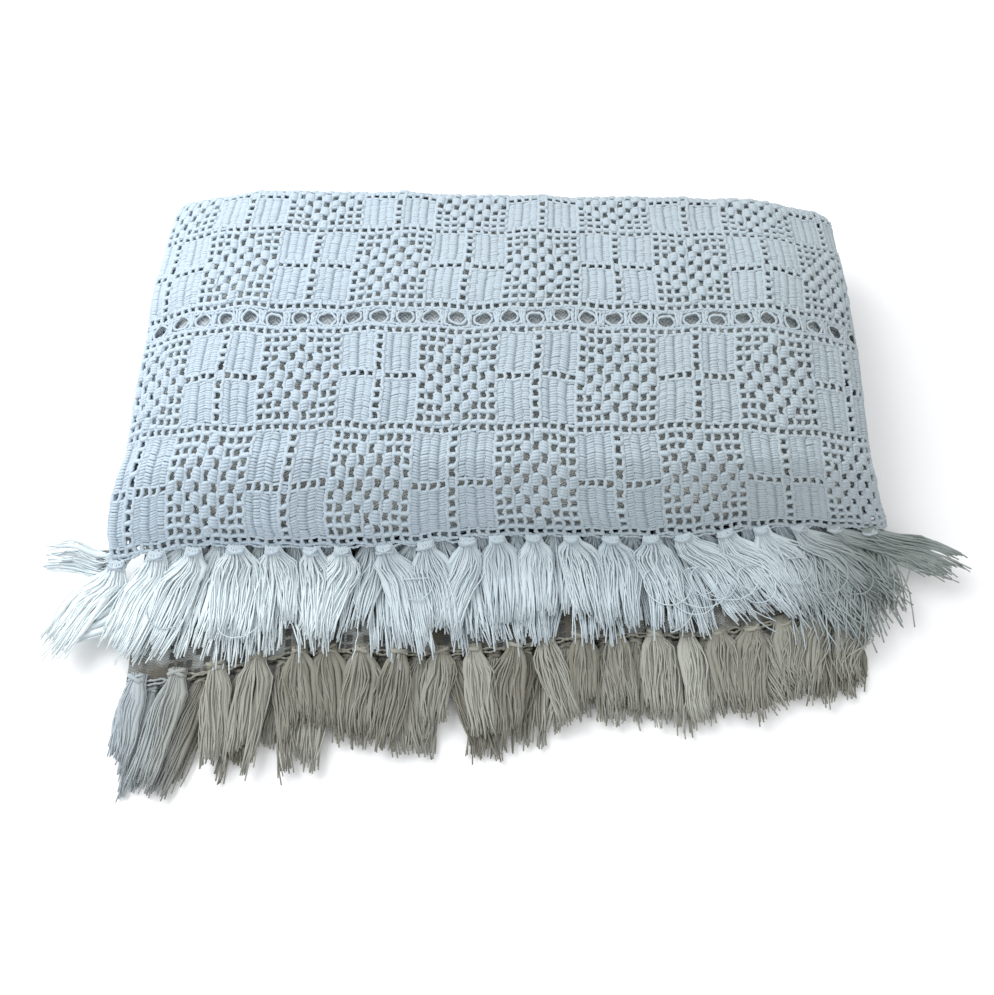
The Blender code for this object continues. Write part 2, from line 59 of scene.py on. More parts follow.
# %% Place the camera
IMAGE_HEIGHT = 995
FOCAL_PIXELS = 878
AXIS_ROW = 425
CAMERA_PLACE = (-0.005, -0.546, 0.935)
DEGREES_DOWN = 61.7
CAMERA_TURN = 0.0047

camera_data = bpy.data.cameras.new("camera")
camera_data.lens = FOCAL_PIXELS * camera_data.sensor_width / IMAGE_HEIGHT
camera_data.shift_y = (AXIS_ROW - IMAGE_HEIGHT / 2) / IMAGE_HEIGHT
camera = bpy.data.objects.new("camera", camera_data)
camera.location = CAMERA_PLACE
camera.rotation_euler = (math.radians(90 - DEGREES_DOWN), 0.0, CAMERA_TURN)
bpy.context.scene.collection.objects.link(camera)
bpy.context.scene.camera = camera
print("lens:", round(camera_data.lens, 1), "mm")

# %% [markdown]
# ## The fold, first step: a clean fold
#
# A route is a line of straights and arcs.  One route is the letter section: three plies, seen
# along the path.  The other is the way of that bundle's middle, back and forth from the top
# hem to the lower hem.  A point of the cloth has a length along each, and that is enough to
# say where it lies.  Numpy works on all the points of a piece at once.

# %% Routes of straights and arcs
THICKNESS = 0.0034
PLY = 0.0115
BUNDLE = 3 * PLY
LEFT_FOLD_X = -0.392
RIGHT_FOLD_X = 0.383
TUCK = 0.009


def lay_route(start, heading, legs):
    """Legs are pairs of a length and a turn.  Gives each leg's start, and the whole length."""
    made, gone, point = [], 0.0, np.array(start, float)
    for length, turn in legs:
        made.append((gone, length, turn, point, heading))
        point, heading = step_along(length, turn, point, heading, np.array(length))
        gone += length
    return made, gone


def step_along(length, turn, point, heading, way):
    if turn == 0:
        ahead = np.stack((way * math.cos(heading), way * math.sin(heading)), -1)
        return point + ahead, heading
    now = heading + turn * way / length
    move = np.stack((np.sin(now) - math.sin(heading), math.cos(heading) - np.cos(now)), -1)
    return point + move * length / turn, now


def follow(route, gone):
    """The points at lengths along a route, and the directions square to its left."""
    gone = np.asarray(gone, float)
    place = np.zeros(gone.shape + (2,))
    now = np.zeros(gone.shape)
    for number, (start, length, turn, point, heading) in enumerate(route):
        here = gone >= start if number else np.ones(gone.shape, bool)
        spot, angle = step_along(length, turn, point, heading, gone - start)
        place = np.where(here[..., None], spot, place)
        now = np.where(here, angle, now)
    return place, np.stack((-np.sin(now), np.cos(now)), -1)


SPAN = RIGHT_FOLD_X - LEFT_FOLD_X
SECTION, SECTION_LENGTH = lay_route((RIGHT_FOLD_X - TUCK, 0.0), math.pi, (
    (SPAN - TUCK, 0.0),
    (math.pi * PLY / 2, -math.pi),
    (SPAN, 0.0),
    (math.pi * PLY, -math.pi),
    (SPAN + TUCK, 0.0),
))
print("round the letter fold:", round(SECTION_LENGTH, 3), "m")

# %% The way back and forth
HEM_HEADING = math.radians(55)
TOP_HEM_Y = -0.2005
DROP_RADIUS = 0.0665
TOP_FRONT_Y = -0.140
FRONT_TURN_Y = -0.146
UPPER_BACK_Y = 0.190
LOWER_BACK_Y = 0.168
LOWER_HEM_Y = -0.322
FRINGE_REACH = 0.140
TASSEL_FALL = 0.018
TASSEL_BEND = 0.050
TOP_BUNDLE_Z = PLY + THICKNESS / 2 + 3 * BUNDLE
hem_z = TOP_BUNDLE_Z - DROP_RADIUS * (1 - math.cos(HEM_HEADING))
hem_rise = (TOP_FRONT_Y - DROP_RADIUS * math.sin(HEM_HEADING) - TOP_HEM_Y) / math.cos(HEM_HEADING)
tip_z = hem_z - (hem_rise + TASSEL_FALL) * math.sin(HEM_HEADING)
tip_z -= TASSEL_BEND * (1 - math.cos(HEM_HEADING))
tip_length = FRINGE_REACH - TASSEL_FALL * math.cos(HEM_HEADING)
tip_length -= TASSEL_BEND * math.sin(HEM_HEADING)
half_turn = math.pi * BUNDLE / 2
PATH, PATH_LENGTH = lay_route((TOP_HEM_Y - FRINGE_REACH, tip_z), 0.0, (
    (tip_length, 0.0),
    (TASSEL_BEND * HEM_HEADING, HEM_HEADING),
    (TASSEL_FALL + hem_rise, 0.0),
    (DROP_RADIUS * HEM_HEADING, -HEM_HEADING),
    (UPPER_BACK_Y - TOP_FRONT_Y, 0.0),
    (half_turn, -math.pi),
    (UPPER_BACK_Y - FRONT_TURN_Y, 0.0),
    (half_turn, math.pi),
    (LOWER_BACK_Y - FRONT_TURN_Y, 0.0),
    (half_turn, -math.pi),
    (LOWER_BACK_Y - LOWER_HEM_Y, 0.0),
    (FRINGE_REACH, 0.0),
))
TOP_HEM = tip_length + TASSEL_BEND * HEM_HEADING + TASSEL_FALL
LOWER_HEM = PATH_LENGTH - FRINGE_REACH
print("hem to hem:", round(LOWER_HEM - TOP_HEM, 3), "m")

# %% [markdown]
# ## The fold, second step: the pile settles
#
# A real pile is crowned in the middle, sinks at its sides and front, and its bundles lie a
# little askew.  These are slow changes over the whole pile, so they are a warp of space, not
# of any one piece.  The same warp moves cloth, stitches and tassels, and that keeps them
# together.

# %% Tables and easing
LOFT = (
    # y, share of the clean height
    (-0.300, 0.64), (-0.215, 0.69), (-0.195, 0.80), (-0.149, 0.99), (-0.086, 1.09),
    (-0.020, 1.15), (0.050, 1.16), (0.120, 1.10), (0.182, 1.02), (0.230, 0.98),
)
LOFT_EASE = 0.35
SHELF_EDGE = (
    # x, how far the lower hem lies back from its straight line
    (-0.392, -0.030), (-0.300, -0.016), (-0.200, 0.000), (0.000, 0.008),
    (0.200, 0.026), (0.330, 0.040), (0.383, 0.052),
)


def smooth(value):
    value = np.clip(value, 0.0, 1.0)
    return value * value * (3 - 2 * value)


def grown(value, part):
    """From 0 to 1 over a part, which is given by its start and its length."""
    start, length = part
    return smooth((value - start) / length)


def wave(value, turns):
    rate, shift = turns
    return np.sin(rate * value + shift)


def read_table(table, x):
    return np.interp(x, [row[0] for row in table], [row[1] for row in table])


def loft_at(y):
    rows, shares = np.array(LOFT).T
    i = np.clip(np.searchsorted(rows, y) - 1, 0, len(rows) - 2)
    t = np.clip((y - rows[i]) / (rows[i + 1] - rows[i]), 0.0, 1.0)
    eased = (1 - LOFT_EASE) * t + LOFT_EASE * smooth(t)
    return shares[i] + (shares[i + 1] - shares[i]) * eased


print("loft over the middle:", loft_at(0.0))

# %% [markdown]
# The numbers were read off the picture: where the pile's edges are, and how they curve.  Each
# warp sets in over a part of the pile, so that it ends without a kink.

# %% Settle the pile
SHOULDER_X, SHOULDER_LENGTH, SHOULDER_LIMIT = 0.255, 0.130, 1.2
SHOULDER_SINK, SHOULDER_FOOT = 0.22, (0.015, 0.060)
SWELL, SWELL_ACROSS, SWELL_ALONG = 0.010, (17, 1.1), (15, 0.6)
UPPER_PART, LOW_PART = (0.040, 0.075), (0.020, 0.040)
FRONT_PART, BACK_PART, SHELF_PART = (0.120, 0.120), (0.020, 0.170), (0.050, 0.250)
FLARE = 0.060
UPPER_SKEW, LOWER_SKEW, SKEW_CENTRE_Y = 0.045, -0.055, -0.060
SLIP, SLIP_WAVE = 0.002, (75, 0.8)
SPILL, SPILL_LESS_ABOVE, SPILL_FLOOR = 0.026, 0.35, (0.040, 0.104)
SPILL_SIDE, SPILL_BACK = (0.040, 0.350), (-0.120, 0.300)
PULL_IN, PULL_IN_SIDE = 0.030, (0.060, 0.320)
HEM_WAVE, HEM_WAVE_RATE, HEM_WAVE_SHIFT = 0.004, 21, 2.0
TOP_HEM_TILT, BACK_TILT = 0.020, 0.008


def settle(x, y, z):
    """Moves points of the clean fold to where they lie in the soft pile."""
    upper = grown(z, UPPER_PART)
    low = 1 - grown(z, LOW_PART)
    front = grown(-y, FRONT_PART)
    past = np.clip((abs(x) - SHOULDER_X) / SHOULDER_LENGTH, 0.0, SHOULDER_LIMIT)
    shoulder = 1 - SHOULDER_SINK * past ** 2.0 * grown(z, SHOULDER_FOOT)
    swell = 1 + SWELL * wave(x, SWELL_ACROSS) * wave(y, SWELL_ALONG)
    lift = np.maximum(0.0, z - THICKNESS)
    height = z - lift + lift * loft_at(y) * shoulder * swell
    skew = UPPER_SKEW * upper + LOWER_SKEW * (1 - upper)
    across = x * (1 + FLARE * front * (1 - low)) + skew * (y - SKEW_CENTRE_Y)
    across += SLIP * wave(z, SLIP_WAVE)
    spill = SPILL * (1 - SPILL_LESS_ABOVE * grown(z, SPILL_FLOOR))
    across -= spill * grown(-x, SPILL_SIDE) * grown(y, SPILL_BACK)
    across -= PULL_IN * grown(x, PULL_IN_SIDE) * front * low
    along = y + HEM_WAVE * front * np.sin(HEM_WAVE_RATE * x + HEM_WAVE_SHIFT * upper)
    along += TOP_HEM_TILT * front * (1 - low) * x / RIGHT_FOLD_X
    along -= BACK_TILT * grown(y, BACK_PART) * x / RIGHT_FOLD_X
    along += low * grown(-y, SHELF_PART) * read_table(SHELF_EDGE, x)
    return np.stack((across, along, height), -1)


def fold_up(x, offset, gone):
    """Where a point lies in the pile, at an offset from the middle of its bundle."""
    place, outward = follow(PATH, gone)
    return settle(np.asarray(x, float), place[..., 0] + outward[..., 0] * offset,
                  place[..., 1] + outward[..., 1] * offset)


def on_cloth(along, gone, lift):
    """Where a point lies, from its lengths along the cloth and its height over the cloth."""
    along, gone, lift = np.broadcast_arrays(along, gone, lift)
    spot, outward = follow(SECTION, along)
    across, offset = np.moveaxis(spot + outward * lift[..., None], -1, 0)
    return fold_up(across, offset, gone)


print("top of the pile:", np.round(on_cloth(1.17, TOP_HEM + 0.25, 0.0), 3))

# %% [markdown]
# ## The chart
#
# Filet crochet is worked from a chart of cells, each either filled or open.  Here a block is
# nine cells wide and high.  A solid block is all filled but for one column and one row of
# holes that quarter it, and a mesh block is open net with a diamond of alternate filled cells
# in it.  Rows of the two kinds take turns like a chess board, with a row of open cells between
# them, and every second row of blocks ends in a join of round eyelets.

# %% Cells of true size, measured along the settled cloth
CELL_WIDTH = 0.0094
CELL_HEIGHT = 0.0113
BLOCK = 9
STRIP = 21
JOIN = 1.8
PERIOD = STRIP + JOIN
MIDDLE_GONE = TOP_HEM + 0.22
ALONG_SAMPLES, GONE_SAMPLES = 2400, 1600


def lengths_of(points):
    steps = np.linalg.norm(np.diff(points, axis=0), axis=1)
    return np.concatenate([[0.0], np.cumsum(steps)])


along_values = np.linspace(0.0, SECTION_LENGTH, ALONG_SAMPLES)
along_lengths = lengths_of(on_cloth(along_values, MIDDLE_GONE, 0.0))
middle_along = (SPAN - TUCK) + math.pi * PLY / 2 - LEFT_FOLD_X
middle_length = np.interp(middle_along, along_values, along_lengths)
along_cells = (along_lengths - middle_length) / CELL_WIDTH
gone_values = np.linspace(TOP_HEM, LOWER_HEM, GONE_SAMPLES)
gone_cells = lengths_of(fold_up(np.zeros(GONE_SAMPLES), PLY, gone_values)) / CELL_HEIGHT
FIRST_COLUMN, LAST_COLUMN = math.ceil(along_cells[0]), math.floor(along_cells[-1])
print("columns:", FIRST_COLUMN, "to", LAST_COLUMN, " rows:", round(gone_cells[-1], 1))

# %% [markdown]
# Hand work is never even.  Slow waves let the stitches stray, the blocks swell between their
# tighter lines of holes, and the knot of each tassel pulls the hem down a little.

# %% Stray stitches
TASSEL_PITCH = 4 * CELL_WIDTH
END_MARGIN = 0.011
TASSELS = round((SPAN - 2 * END_MARGIN) / TASSEL_PITCH) + 1
knot_x = np.linspace(LEFT_FOLD_X + END_MARGIN, RIGHT_FOLD_X - END_MARGIN, TASSELS)
KNOT_COLUMNS = np.interp(middle_along + knot_x, along_values, along_cells)
KNOT_PITCH = float(np.mean(np.diff(KNOT_COLUMNS)))
ROW_STRAY, COLUMN_STRAY, KNOT_PULL = 0.17, 0.14, 0.13
RISE, PUFF = 0.0014, 1.7
NEAR_HEM, PULLED_PART, TOP_END, PUFF_SIDE = (0, 3), (-0.3, 3.5), (44, 4), (-47, 4)


def puffed(column, row):
    """Blocks swell in their middles, one up and the next one not."""
    level = np.mod(row, PERIOD)
    across = np.sin(math.pi * (column + 0.5) / BLOCK)
    puff = np.clip(-across * np.sin(math.pi * (level - 0.5) / (BLOCK + 1)), 0, 1)
    return puff * (level < STRIP - 0.5) * grown(column, PUFF_SIDE) * smooth(row / 2)


def drift(column, row):
    """How far a stitch has strayed, in cells, and how far it rises."""
    top = 1 - grown(row, TOP_END)
    pulled = np.cos((column - KNOT_COLUMNS[0]) * 2 * math.pi / KNOT_PITCH)
    pulled = pulled * (1 - grown(row, PULLED_PART))
    sway = np.sin(0.31 * column + 0.9 * np.sin(0.17 * row))
    sway = sway + 0.7 * np.sin(0.83 * column - 0.21 * row)
    pull = np.sin(0.27 * row + 1.3 * np.sin(0.11 * column))
    pull = pull + 0.6 * np.sin(0.71 * row + 0.19 * column)
    rise = np.sin(0.23 * column + 0.31 * row) * np.sin(0.19 * column - 0.27 * row + 1.0)
    rise = rise + PUFF * puffed(column, row)
    strayed_row = row + ROW_STRAY * sway * grown(row, NEAR_HEM) * top - KNOT_PULL * pulled
    return column + COLUMN_STRAY * pull * top, strayed_row, RISE * rise * top


def stitch_at(column, row, lift):
    """Where a stitch lies, from its place on the chart and its height over the cloth."""
    column, row, lift = np.broadcast_arrays(np.asarray(column, float), row, lift)
    column, row, rise = drift(column, np.asarray(row, float))
    along = np.interp(column, along_cells, along_values)
    gone = np.interp(row, gone_cells, gone_values)
    before_hem, past_hem = np.minimum(row, 0.0), np.maximum(row - gone_cells[-1], 0.0)
    return on_cloth(along, gone + (before_hem + past_hem) * CELL_HEIGHT, lift + rise)


print("tassels in a row:", TASSELS)

# %% Which cells are open
def place_in_block(column, row):
    """Column and row within the block, and the kind of block: solid or mesh."""
    level = np.mod(row, PERIOD)
    line = np.floor(level + 1e-6).astype(int)
    upper = line > BLOCK + 1
    step = line - np.where(upper, BLOCK + 2, 1)
    left = np.floor_divide(column, BLOCK) % 2 == 0
    return np.mod(column, BLOCK), step, left == upper, (line % (BLOCK + 1) == 0) & (line < STRIP)


def is_open(column, row):
    """Whether the cell at this column, with its lower edge at this row, is a hole."""
    i, k, solid, divider = place_in_block(column, row)
    middle = BLOCK // 2
    quarter = (i == middle) ^ (k == middle)
    steps = abs(i - middle) + abs(k - middle)
    filled_in_mesh = (steps <= middle) & (steps % 2 == 0)
    return divider | np.where(solid, quarter, ~filled_in_mesh)


def is_join(row):
    return np.mod(row, PERIOD) > STRIP - 1e-6


row_lines = [p * PERIOD + k for p in range(8) for k in range(STRIP + 1)]
row_lines = np.array([row for row in row_lines if row < gone_cells[-1] - 0.3] + [gone_cells[-1]])
print("cells of the whole cloth:", (LAST_COLUMN - FIRST_COLUMN) * len(row_lines))

# %% [markdown]
# ## Cotton
#
# All of it is the same soft mercerised cotton, but its colours carry painted light and shade:
# the yarn is painted a cool, lit colour at the pile's left and a darker, warmer shade towards
# its right, the top tassels are a lighter copy of it, painted light, and the lower fringe and
# the top fringe's right corner are darker copies, painted shade.  Each yarn has its own slight
# tone, kept as a value on the mesh; in the tassels that value also carries painted shade.  A
# fine noise stands for the fibres.  The shader is a rough one with a little sheen, the glow
# that short fibres give at the edges.

# %% Helpers for shader nodes
def add_node(tree, kind, settings=None, **inputs):
    """A node whose inputs are given by name, or by number as i0, i1 and so on."""
    node = tree.nodes.new(kind)
    for name, value in (settings or {}).items():
        setattr(node, name, value)
    for name, value in inputs.items():
        numbered = name[1:].isdigit()
        socket = node.inputs[int(name[1:]) if numbered else name.replace("_", " ")]
        if isinstance(value, bpy.types.NodeSocket):
            tree.links.new(value, socket)
        else:
            socket.default_value = value
    return node


def calc(tree, operation, a, b=0.0):
    return add_node(tree, "ShaderNodeMath", {"operation": operation}, i0=a, i1=b).outputs[0]


def mix_colour(tree, share, a, b):
    node = add_node(tree, "ShaderNodeMix", {"data_type": "RGBA"}, i0=share, i6=a, i7=b)
    return node.outputs[2]


def ramp(tree, value, start, end, top=1.0, kind="LINEAR"):
    """From 0 at the start to the top at the end."""
    return add_node(tree, "ShaderNodeMapRange", {"interpolation_type": kind},
                    i0=value, i1=start, i2=end, i4=top).outputs[0]


def noise(tree, place, scale, detail):
    node = add_node(tree, "ShaderNodeTexNoise", Vector=place, Scale=scale, Detail=detail)
    return node.outputs["Fac"]


def split_place(tree, place):
    return add_node(tree, "ShaderNodeSeparateXYZ", Vector=place).outputs


def value_on_mesh(tree, name):
    return add_node(tree, "ShaderNodeAttribute", {"attribute_name": name}).outputs["Fac"]


def new_cotton(name):
    """A material, its node tree and the place of a point on the object."""
    material = bpy.data.materials.new(name)
    material.use_nodes = True
    tree = material.node_tree
    return material, tree, add_node(tree, "ShaderNodeTexCoord").outputs["Object"]


def dress(tree, colour, height, depth, strength, **values):
    """Gives the shader its colour, its relief and its other values."""
    shader = tree.nodes["Principled BSDF"]
    bump = add_node(tree, "ShaderNodeBump", Height=height, Distance=depth, Strength=strength)
    tree.links.new(colour, shader.inputs["Base Color"])
    tree.links.new(bump.outputs["Normal"], shader.inputs["Normal"])
    for name, value in values.items():
        shader.inputs[name.replace("_", " ")].default_value = value


# %% The cotton yarn
# The yarn is painted lighter at the pile's left and darker towards its right, in patches: painted
# light and shade.
PILE_SIDE = 0.42
PATCHES, PATCH_NOISE = 0.3, (5.0, 2.0)
# Painted shade over the top fringe's right corner.
CORNER_SHADE_PART, CORNER_SHADE = (0.28, 0.39), (0.22, 0.25, 0.23, 1)
# Painted light over the lower fringe's left end.
LIT_LEFT_PART = (-0.31, -0.39)
FIBRE_NOISE, FIBRE_DEPTH = (900.0, 3.0), 0.0004


def left_to_right(tree, place):
    """The share of painted shade: from 0 at the pile's left side to 1 at its right, in uneven
    patches.
    """
    patches = calc(tree, "MULTIPLY", noise(tree, place, *PATCH_NOISE), PATCHES)
    share = ramp(tree, split_place(tree, place)[0], -PILE_SIDE, PILE_SIDE)
    return calc(tree, "ADD", calc(tree, "MULTIPLY", share, 1 - PATCHES), patches)


def cotton_yarn(name, cool_lit, warm_shaded, dark, tone_share, corner=0.0, left_end_light=None):
    """A yarn whose colour drifts from a cool lit colour at the left to a warmer painted shade at
    the right, each yarn in its own tone.  A share for the corner paints shade over the
    right corner, and a colour for the left end paints light there.
    """
    material, tree, place = new_cotton(name)
    across = split_place(tree, place)[0]
    toning = calc(tree, "MULTIPLY", value_on_mesh(tree, "tone_and_shade"), tone_share)
    colour = mix_colour(tree, left_to_right(tree, place), cool_lit, warm_shaded)
    colour = mix_colour(tree, toning, colour, dark)
    colour = mix_colour(tree, ramp(tree, across, *CORNER_SHADE_PART, corner), colour, CORNER_SHADE)
    if left_end_light:
        colour = mix_colour(tree, ramp(tree, across, *LIT_LEFT_PART), colour, left_end_light)
    dress(tree, colour, noise(tree, place, *FIBRE_NOISE), FIBRE_DEPTH, 0.6, Roughness=0.88,
          Specular_IOR_Level=0.25, Sheen_Weight=0.12, Sheen_Roughness=0.5)
    return material


# The cloth's yarn, with painted shade towards the pile's right.
crochet_cotton = cotton_yarn(
    "crochet_cotton", tone_share=0.5,
    cool_lit=(0.56, 0.67, 0.77, 1), warm_shaded=(0.365, 0.415, 0.43, 1), dark=(0.44, 0.50, 0.54, 1))
# The top tassels: a lighter copy of the same cotton, painted light, with painted shade over the
# right corner.
lit_top_tassel_cotton = cotton_yarn(
    "lit_top_tassel_cotton", tone_share=0.9, corner=0.88,
    cool_lit=(0.89, 0.98, 1.0, 1), warm_shaded=(0.58, 0.66, 0.70, 1), dark=(0.50, 0.58, 0.63, 1))
# The lower fringe, its wraps and its hem border: a darker copy of the same cotton, painted shade,
# with painted light at the left end.
shaded_lower_tassel_cotton = cotton_yarn(
    "shaded_lower_tassel_cotton", tone_share=0.9, left_end_light=(0.43, 0.49, 0.53, 1),
    cool_lit=(0.44, 0.45, 0.40, 1), warm_shaded=(0.475, 0.485, 0.43, 1), dark=(0.18, 0.17, 0.135, 1))

# %% [markdown]
# ## The ground of the cloth
#
# One sheet carries the whole bedspread through every fold, cell by cell of the chart.  Where
# the cloth is seen on top of the pile its open cells are really open, and the raised stitches
# are added over it.  On the plies inside and under the pile the holes and stitches are too
# many to build, so there the material draws them, with painted shade in the holes and in the
# grooves between posts: it knows from the texture coordinates where it is in a cell, and from
# a value on each face whether that cell is open.  Other values on the faces paint shade on the
# shelf by the lower hem and light on the ply just under the net, and the colour is painted
# darker towards the pile's right.

# %% The material that draws cells, stitches and holes
# Painted light and shade of the ground: lit at the pile's left, shaded at its right.
GROUND_LIT, GROUND_SHADED = (0.57, 0.63, 0.68, 1), (0.50, 0.54, 0.54, 1)
# Painted shadow on the shelf by the lower hem, and its lighter bits.
SHELF_SHADOW, SHELF_LIGHT = (0.15, 0.135, 0.105, 1), (0.42, 0.44, 0.43, 1)
# Painted light on the ply just under the net, and painted shade in the grooves between posts.
UNDER_NET_LIGHT, GROOVE_SHADE = (0.84, 0.85, 0.80, 1), (0.20, 0.21, 0.20, 1)
# Painted shade inside the holes that the material draws.
HOLE_SHADE = (0.10, 0.105, 0.10, 1)


def cell_cotton():
    material, tree, place = new_cotton("cell_cotton")
    chart = add_node(tree, "ShaderNodeUVMap", {"uv_map": "chart"}).outputs[0]
    chart_x, chart_y = split_place(tree, chart)[:2]
    sideways, upward = calc(tree, "FRACT", chart_x), calc(tree, "FRACT", chart_y)
    from_middle_x = calc(tree, "ABSOLUTE", calc(tree, "SUBTRACT", sideways, 0.5))
    from_middle_y = calc(tree, "ABSOLUTE", calc(tree, "SUBTRACT", upward, 0.5))
    edge = calc(tree, "MAXIMUM", from_middle_x, from_middle_y)
    inside = ramp(tree, edge, 0.36, 0.30, kind="SMOOTHSTEP")
    hole = calc(tree, "MULTIPLY", inside, value_on_mesh(tree, "open_cell"))
    lean = calc(tree, "MULTIPLY", from_middle_x, 0.5)
    turns = calc(tree, "MULTIPLY", calc(tree, "ADD", upward, lean), 4 * math.pi)
    posts = calc(tree, "ABSOLUTE", calc(tree, "SINE", turns))
    relief = calc(tree, "ADD", posts, calc(tree, "MULTIPLY", from_middle_x, 1.2))
    height = calc(tree, "SUBTRACT", relief, calc(tree, "MULTIPLY", hole, 2.5))
    # Painted shade, darker towards the pile's right.
    drifted = mix_colour(tree, left_to_right(tree, place), GROUND_LIT, GROUND_SHADED)
    # Painted light: the ply just under the net is made lighter.
    lit_under_net = mix_colour(tree, value_on_mesh(tree, "under"), drifted, UNDER_NET_LIGHT)
    # Painted shade on the shelf, in patches of noise.
    shade_patches = ramp(tree, noise(tree, place, 42.0, 4.0), 0.42, 0.60)
    shaded_shelf = mix_colour(tree, shade_patches, SHELF_SHADOW, SHELF_LIGHT)
    plain = mix_colour(tree, value_on_mesh(tree, "shelf_shade"), lit_under_net, shaded_shelf)
    # Painted shade in the grooves between posts and inside the drawn holes.
    shaded = mix_colour(tree, 0.30, plain, GROOVE_SHADE)
    grooved = mix_colour(tree, posts, shaded, plain)
    holed = mix_colour(tree, hole, grooved, HOLE_SHADE)
    dress(tree, holed, height, 0.0016, 0.8, Roughness=0.9, Specular_IOR_Level=0.2, Sheen_Weight=0.2)
    return material


cell_cotton_material = cell_cotton()

# %% How far the raised stitches reach
FIRST_RAISED, LAST_RAISED = -47, 48
LAST_RAISED_ROW = 47
EYELET_PITCH = 3


def is_raised(column, row):
    return (column >= FIRST_RAISED) & (column <= LAST_RAISED) & (row < LAST_RAISED_ROW)


def new_piece(name, points, faces, material, tones=None):
    """One mesh object with smooth faces, a material and for each point a tone, which in some
    pieces also carries painted shade.
    """
    mesh = bpy.data.meshes.new(name)
    mesh.from_pydata(points, [], faces)
    mesh.polygons.foreach_set("use_smooth", [True] * len(mesh.polygons))
    if tones is not None:
        mesh.attributes.new("tone_and_shade", "FLOAT", "POINT").data.foreach_set("value", tones)
    mesh.materials.append(material)
    piece = bpy.data.objects.new(name, mesh)
    bpy.context.scene.collection.objects.link(piece)
    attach(piece, "root")
    triangles = sum(len(face.vertices) - 2 for face in mesh.polygons)
    print(name, "triangles:", triangles)
    return piece


# %% Make the sheet, cell by cell
column_lines = np.arange(FIRST_COLUMN, LAST_COLUMN + 1) - 0.5
column_lines[0], column_lines[-1] = along_cells[0], along_cells[-1]
grid_columns, grid_rows = np.meshgrid(column_lines, row_lines)
GROUND_LIFT, CLOSER = -0.0006, 0.0058

# The ply under the net lies close against it.
grid_along = np.interp(grid_columns, along_cells, along_values)
close = smooth(grid_along / 0.030) * smooth((SPAN - TUCK - grid_along) / 0.040)
close = close * grown(grid_rows, NEAR_HEM) * (1 - grown(grid_rows, TOP_END))
ground_points = stitch_at(grid_columns, grid_rows, GROUND_LIFT - CLOSER * close).reshape(-1, 3)
ground_points[:, 2] = np.maximum(ground_points[:, 2], 0.0004)

wide = len(column_lines)
j, i = np.meshgrid(np.arange(len(row_lines) - 1), np.arange(wide - 1), indexing="ij")
cell_columns, cell_rows = FIRST_COLUMN + i, row_lines[j]
in_join = is_join(cell_rows)
eyelet = in_join & (np.mod(cell_columns, EYELET_PITCH) != 2)
cell_open = np.where(in_join, eyelet, is_open(cell_columns, cell_rows))
kept = ~(cell_open & is_raised(cell_columns, cell_rows))
corner = j * wide + i
quads = np.stack((corner, corner + 1, corner + wide + 1, corner + wide), -1)[kept]
ground = new_piece("cloth_ground", ground_points, quads.tolist(), cell_cotton_material)
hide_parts("bedspread_cloth")
print("open cells:", int(cell_open.sum()), "of", cell_open.size)

# %% Tell the material what each cell is
SHELF_ROW = 122
under_the_net = (cell_columns < FIRST_RAISED) & (cell_rows < LAST_RAISED_ROW)
face_values = {
    # Painted shade in the drawn holes, faint on the ply under the net.
    "open_cell": np.where(under_the_net, 0.12, 1.0) * cell_open,
    # Painted shade on the shelf by the lower hem.
    "shelf_shade": (cell_rows > SHELF_ROW) & (cell_columns > LAST_RAISED + 4),
    # Painted light on the ply just under the net.
    "under": under_the_net & ~in_join,
}
for name, value in face_values.items():
    attribute = ground.data.attributes.new(name, "FLOAT", "FACE")
    attribute.data.foreach_set("value", value[kept].astype(float))
chart_map = ground.data.uv_layers.new(name="chart")
around_cell = [np.stack((i + right, j + up), -1) for right, up in ((0, 0), (1, 0), (1, 1), (0, 1))]
chart_map.data.foreach_set("uv", np.stack(around_cell, 2)[kept].astype(float).ravel())
print("cells that lie just under the net:", int(face_values["under"].sum()))

# %% [markdown]
# ## Yarn
#
# Everything raised is yarn: a thin tube that swells and thins along its way.  A curve object
# with a bevel would do for one yarn.  For twenty thousand of them one mesh is lighter, so this
# helper sweeps a small ring along all the yarns of a piece at once.

# %% Sweep rings along many yarns at once
def make_yarns(name, ways, radii, material, beside, sides=4, tones=None, flat=1.0):
    """ways: (yarns, points, 3).  radii: (yarns, points).  beside: a direction off the way."""
    yarns, stations, _ = ways.shape
    ahead = np.gradient(ways, axis=1)
    ahead /= np.linalg.norm(ahead, axis=-1, keepdims=True) + 1e-12
    first = np.cross(ahead, np.asarray(beside, float))
    first /= np.linalg.norm(first, axis=-1, keepdims=True) + 1e-12
    second = np.cross(ahead, first)
    angles = ((np.arange(sides) + 0.5) * 2 * math.pi / sides)[:, None]
    ring = first[:, :, None] * np.cos(angles) * flat + second[:, :, None] * np.sin(angles)
    points = ways[:, :, None] + ring * np.broadcast_to(radii, ways.shape[:2])[..., None, None]
    base = (np.arange(yarns) * stations * sides)[:, None, None]
    row = base + (np.arange(stations - 1) * sides)[None, :, None]
    side = np.arange(sides)[None, None, :]
    after = (side + 1) % sides
    walls = np.stack((row + side, row + after, row + sides + after, row + sides + side), -1)
    start = (base + side[:, :, ::-1])[:, 0]
    end = (base + (stations - 1) * sides + side)[:, 0]
    faces = walls.reshape(-1, 4).tolist() + start.tolist() + end.tolist()
    tones = np.zeros(yarns) if tones is None else np.asarray(tones)
    each = np.repeat(np.broadcast_to(tones.reshape(yarns, -1), (yarns, stations)), sides)
    return new_piece(name, points.reshape(-1, 3), faces, material, each)


rng = np.random.default_rng(38)


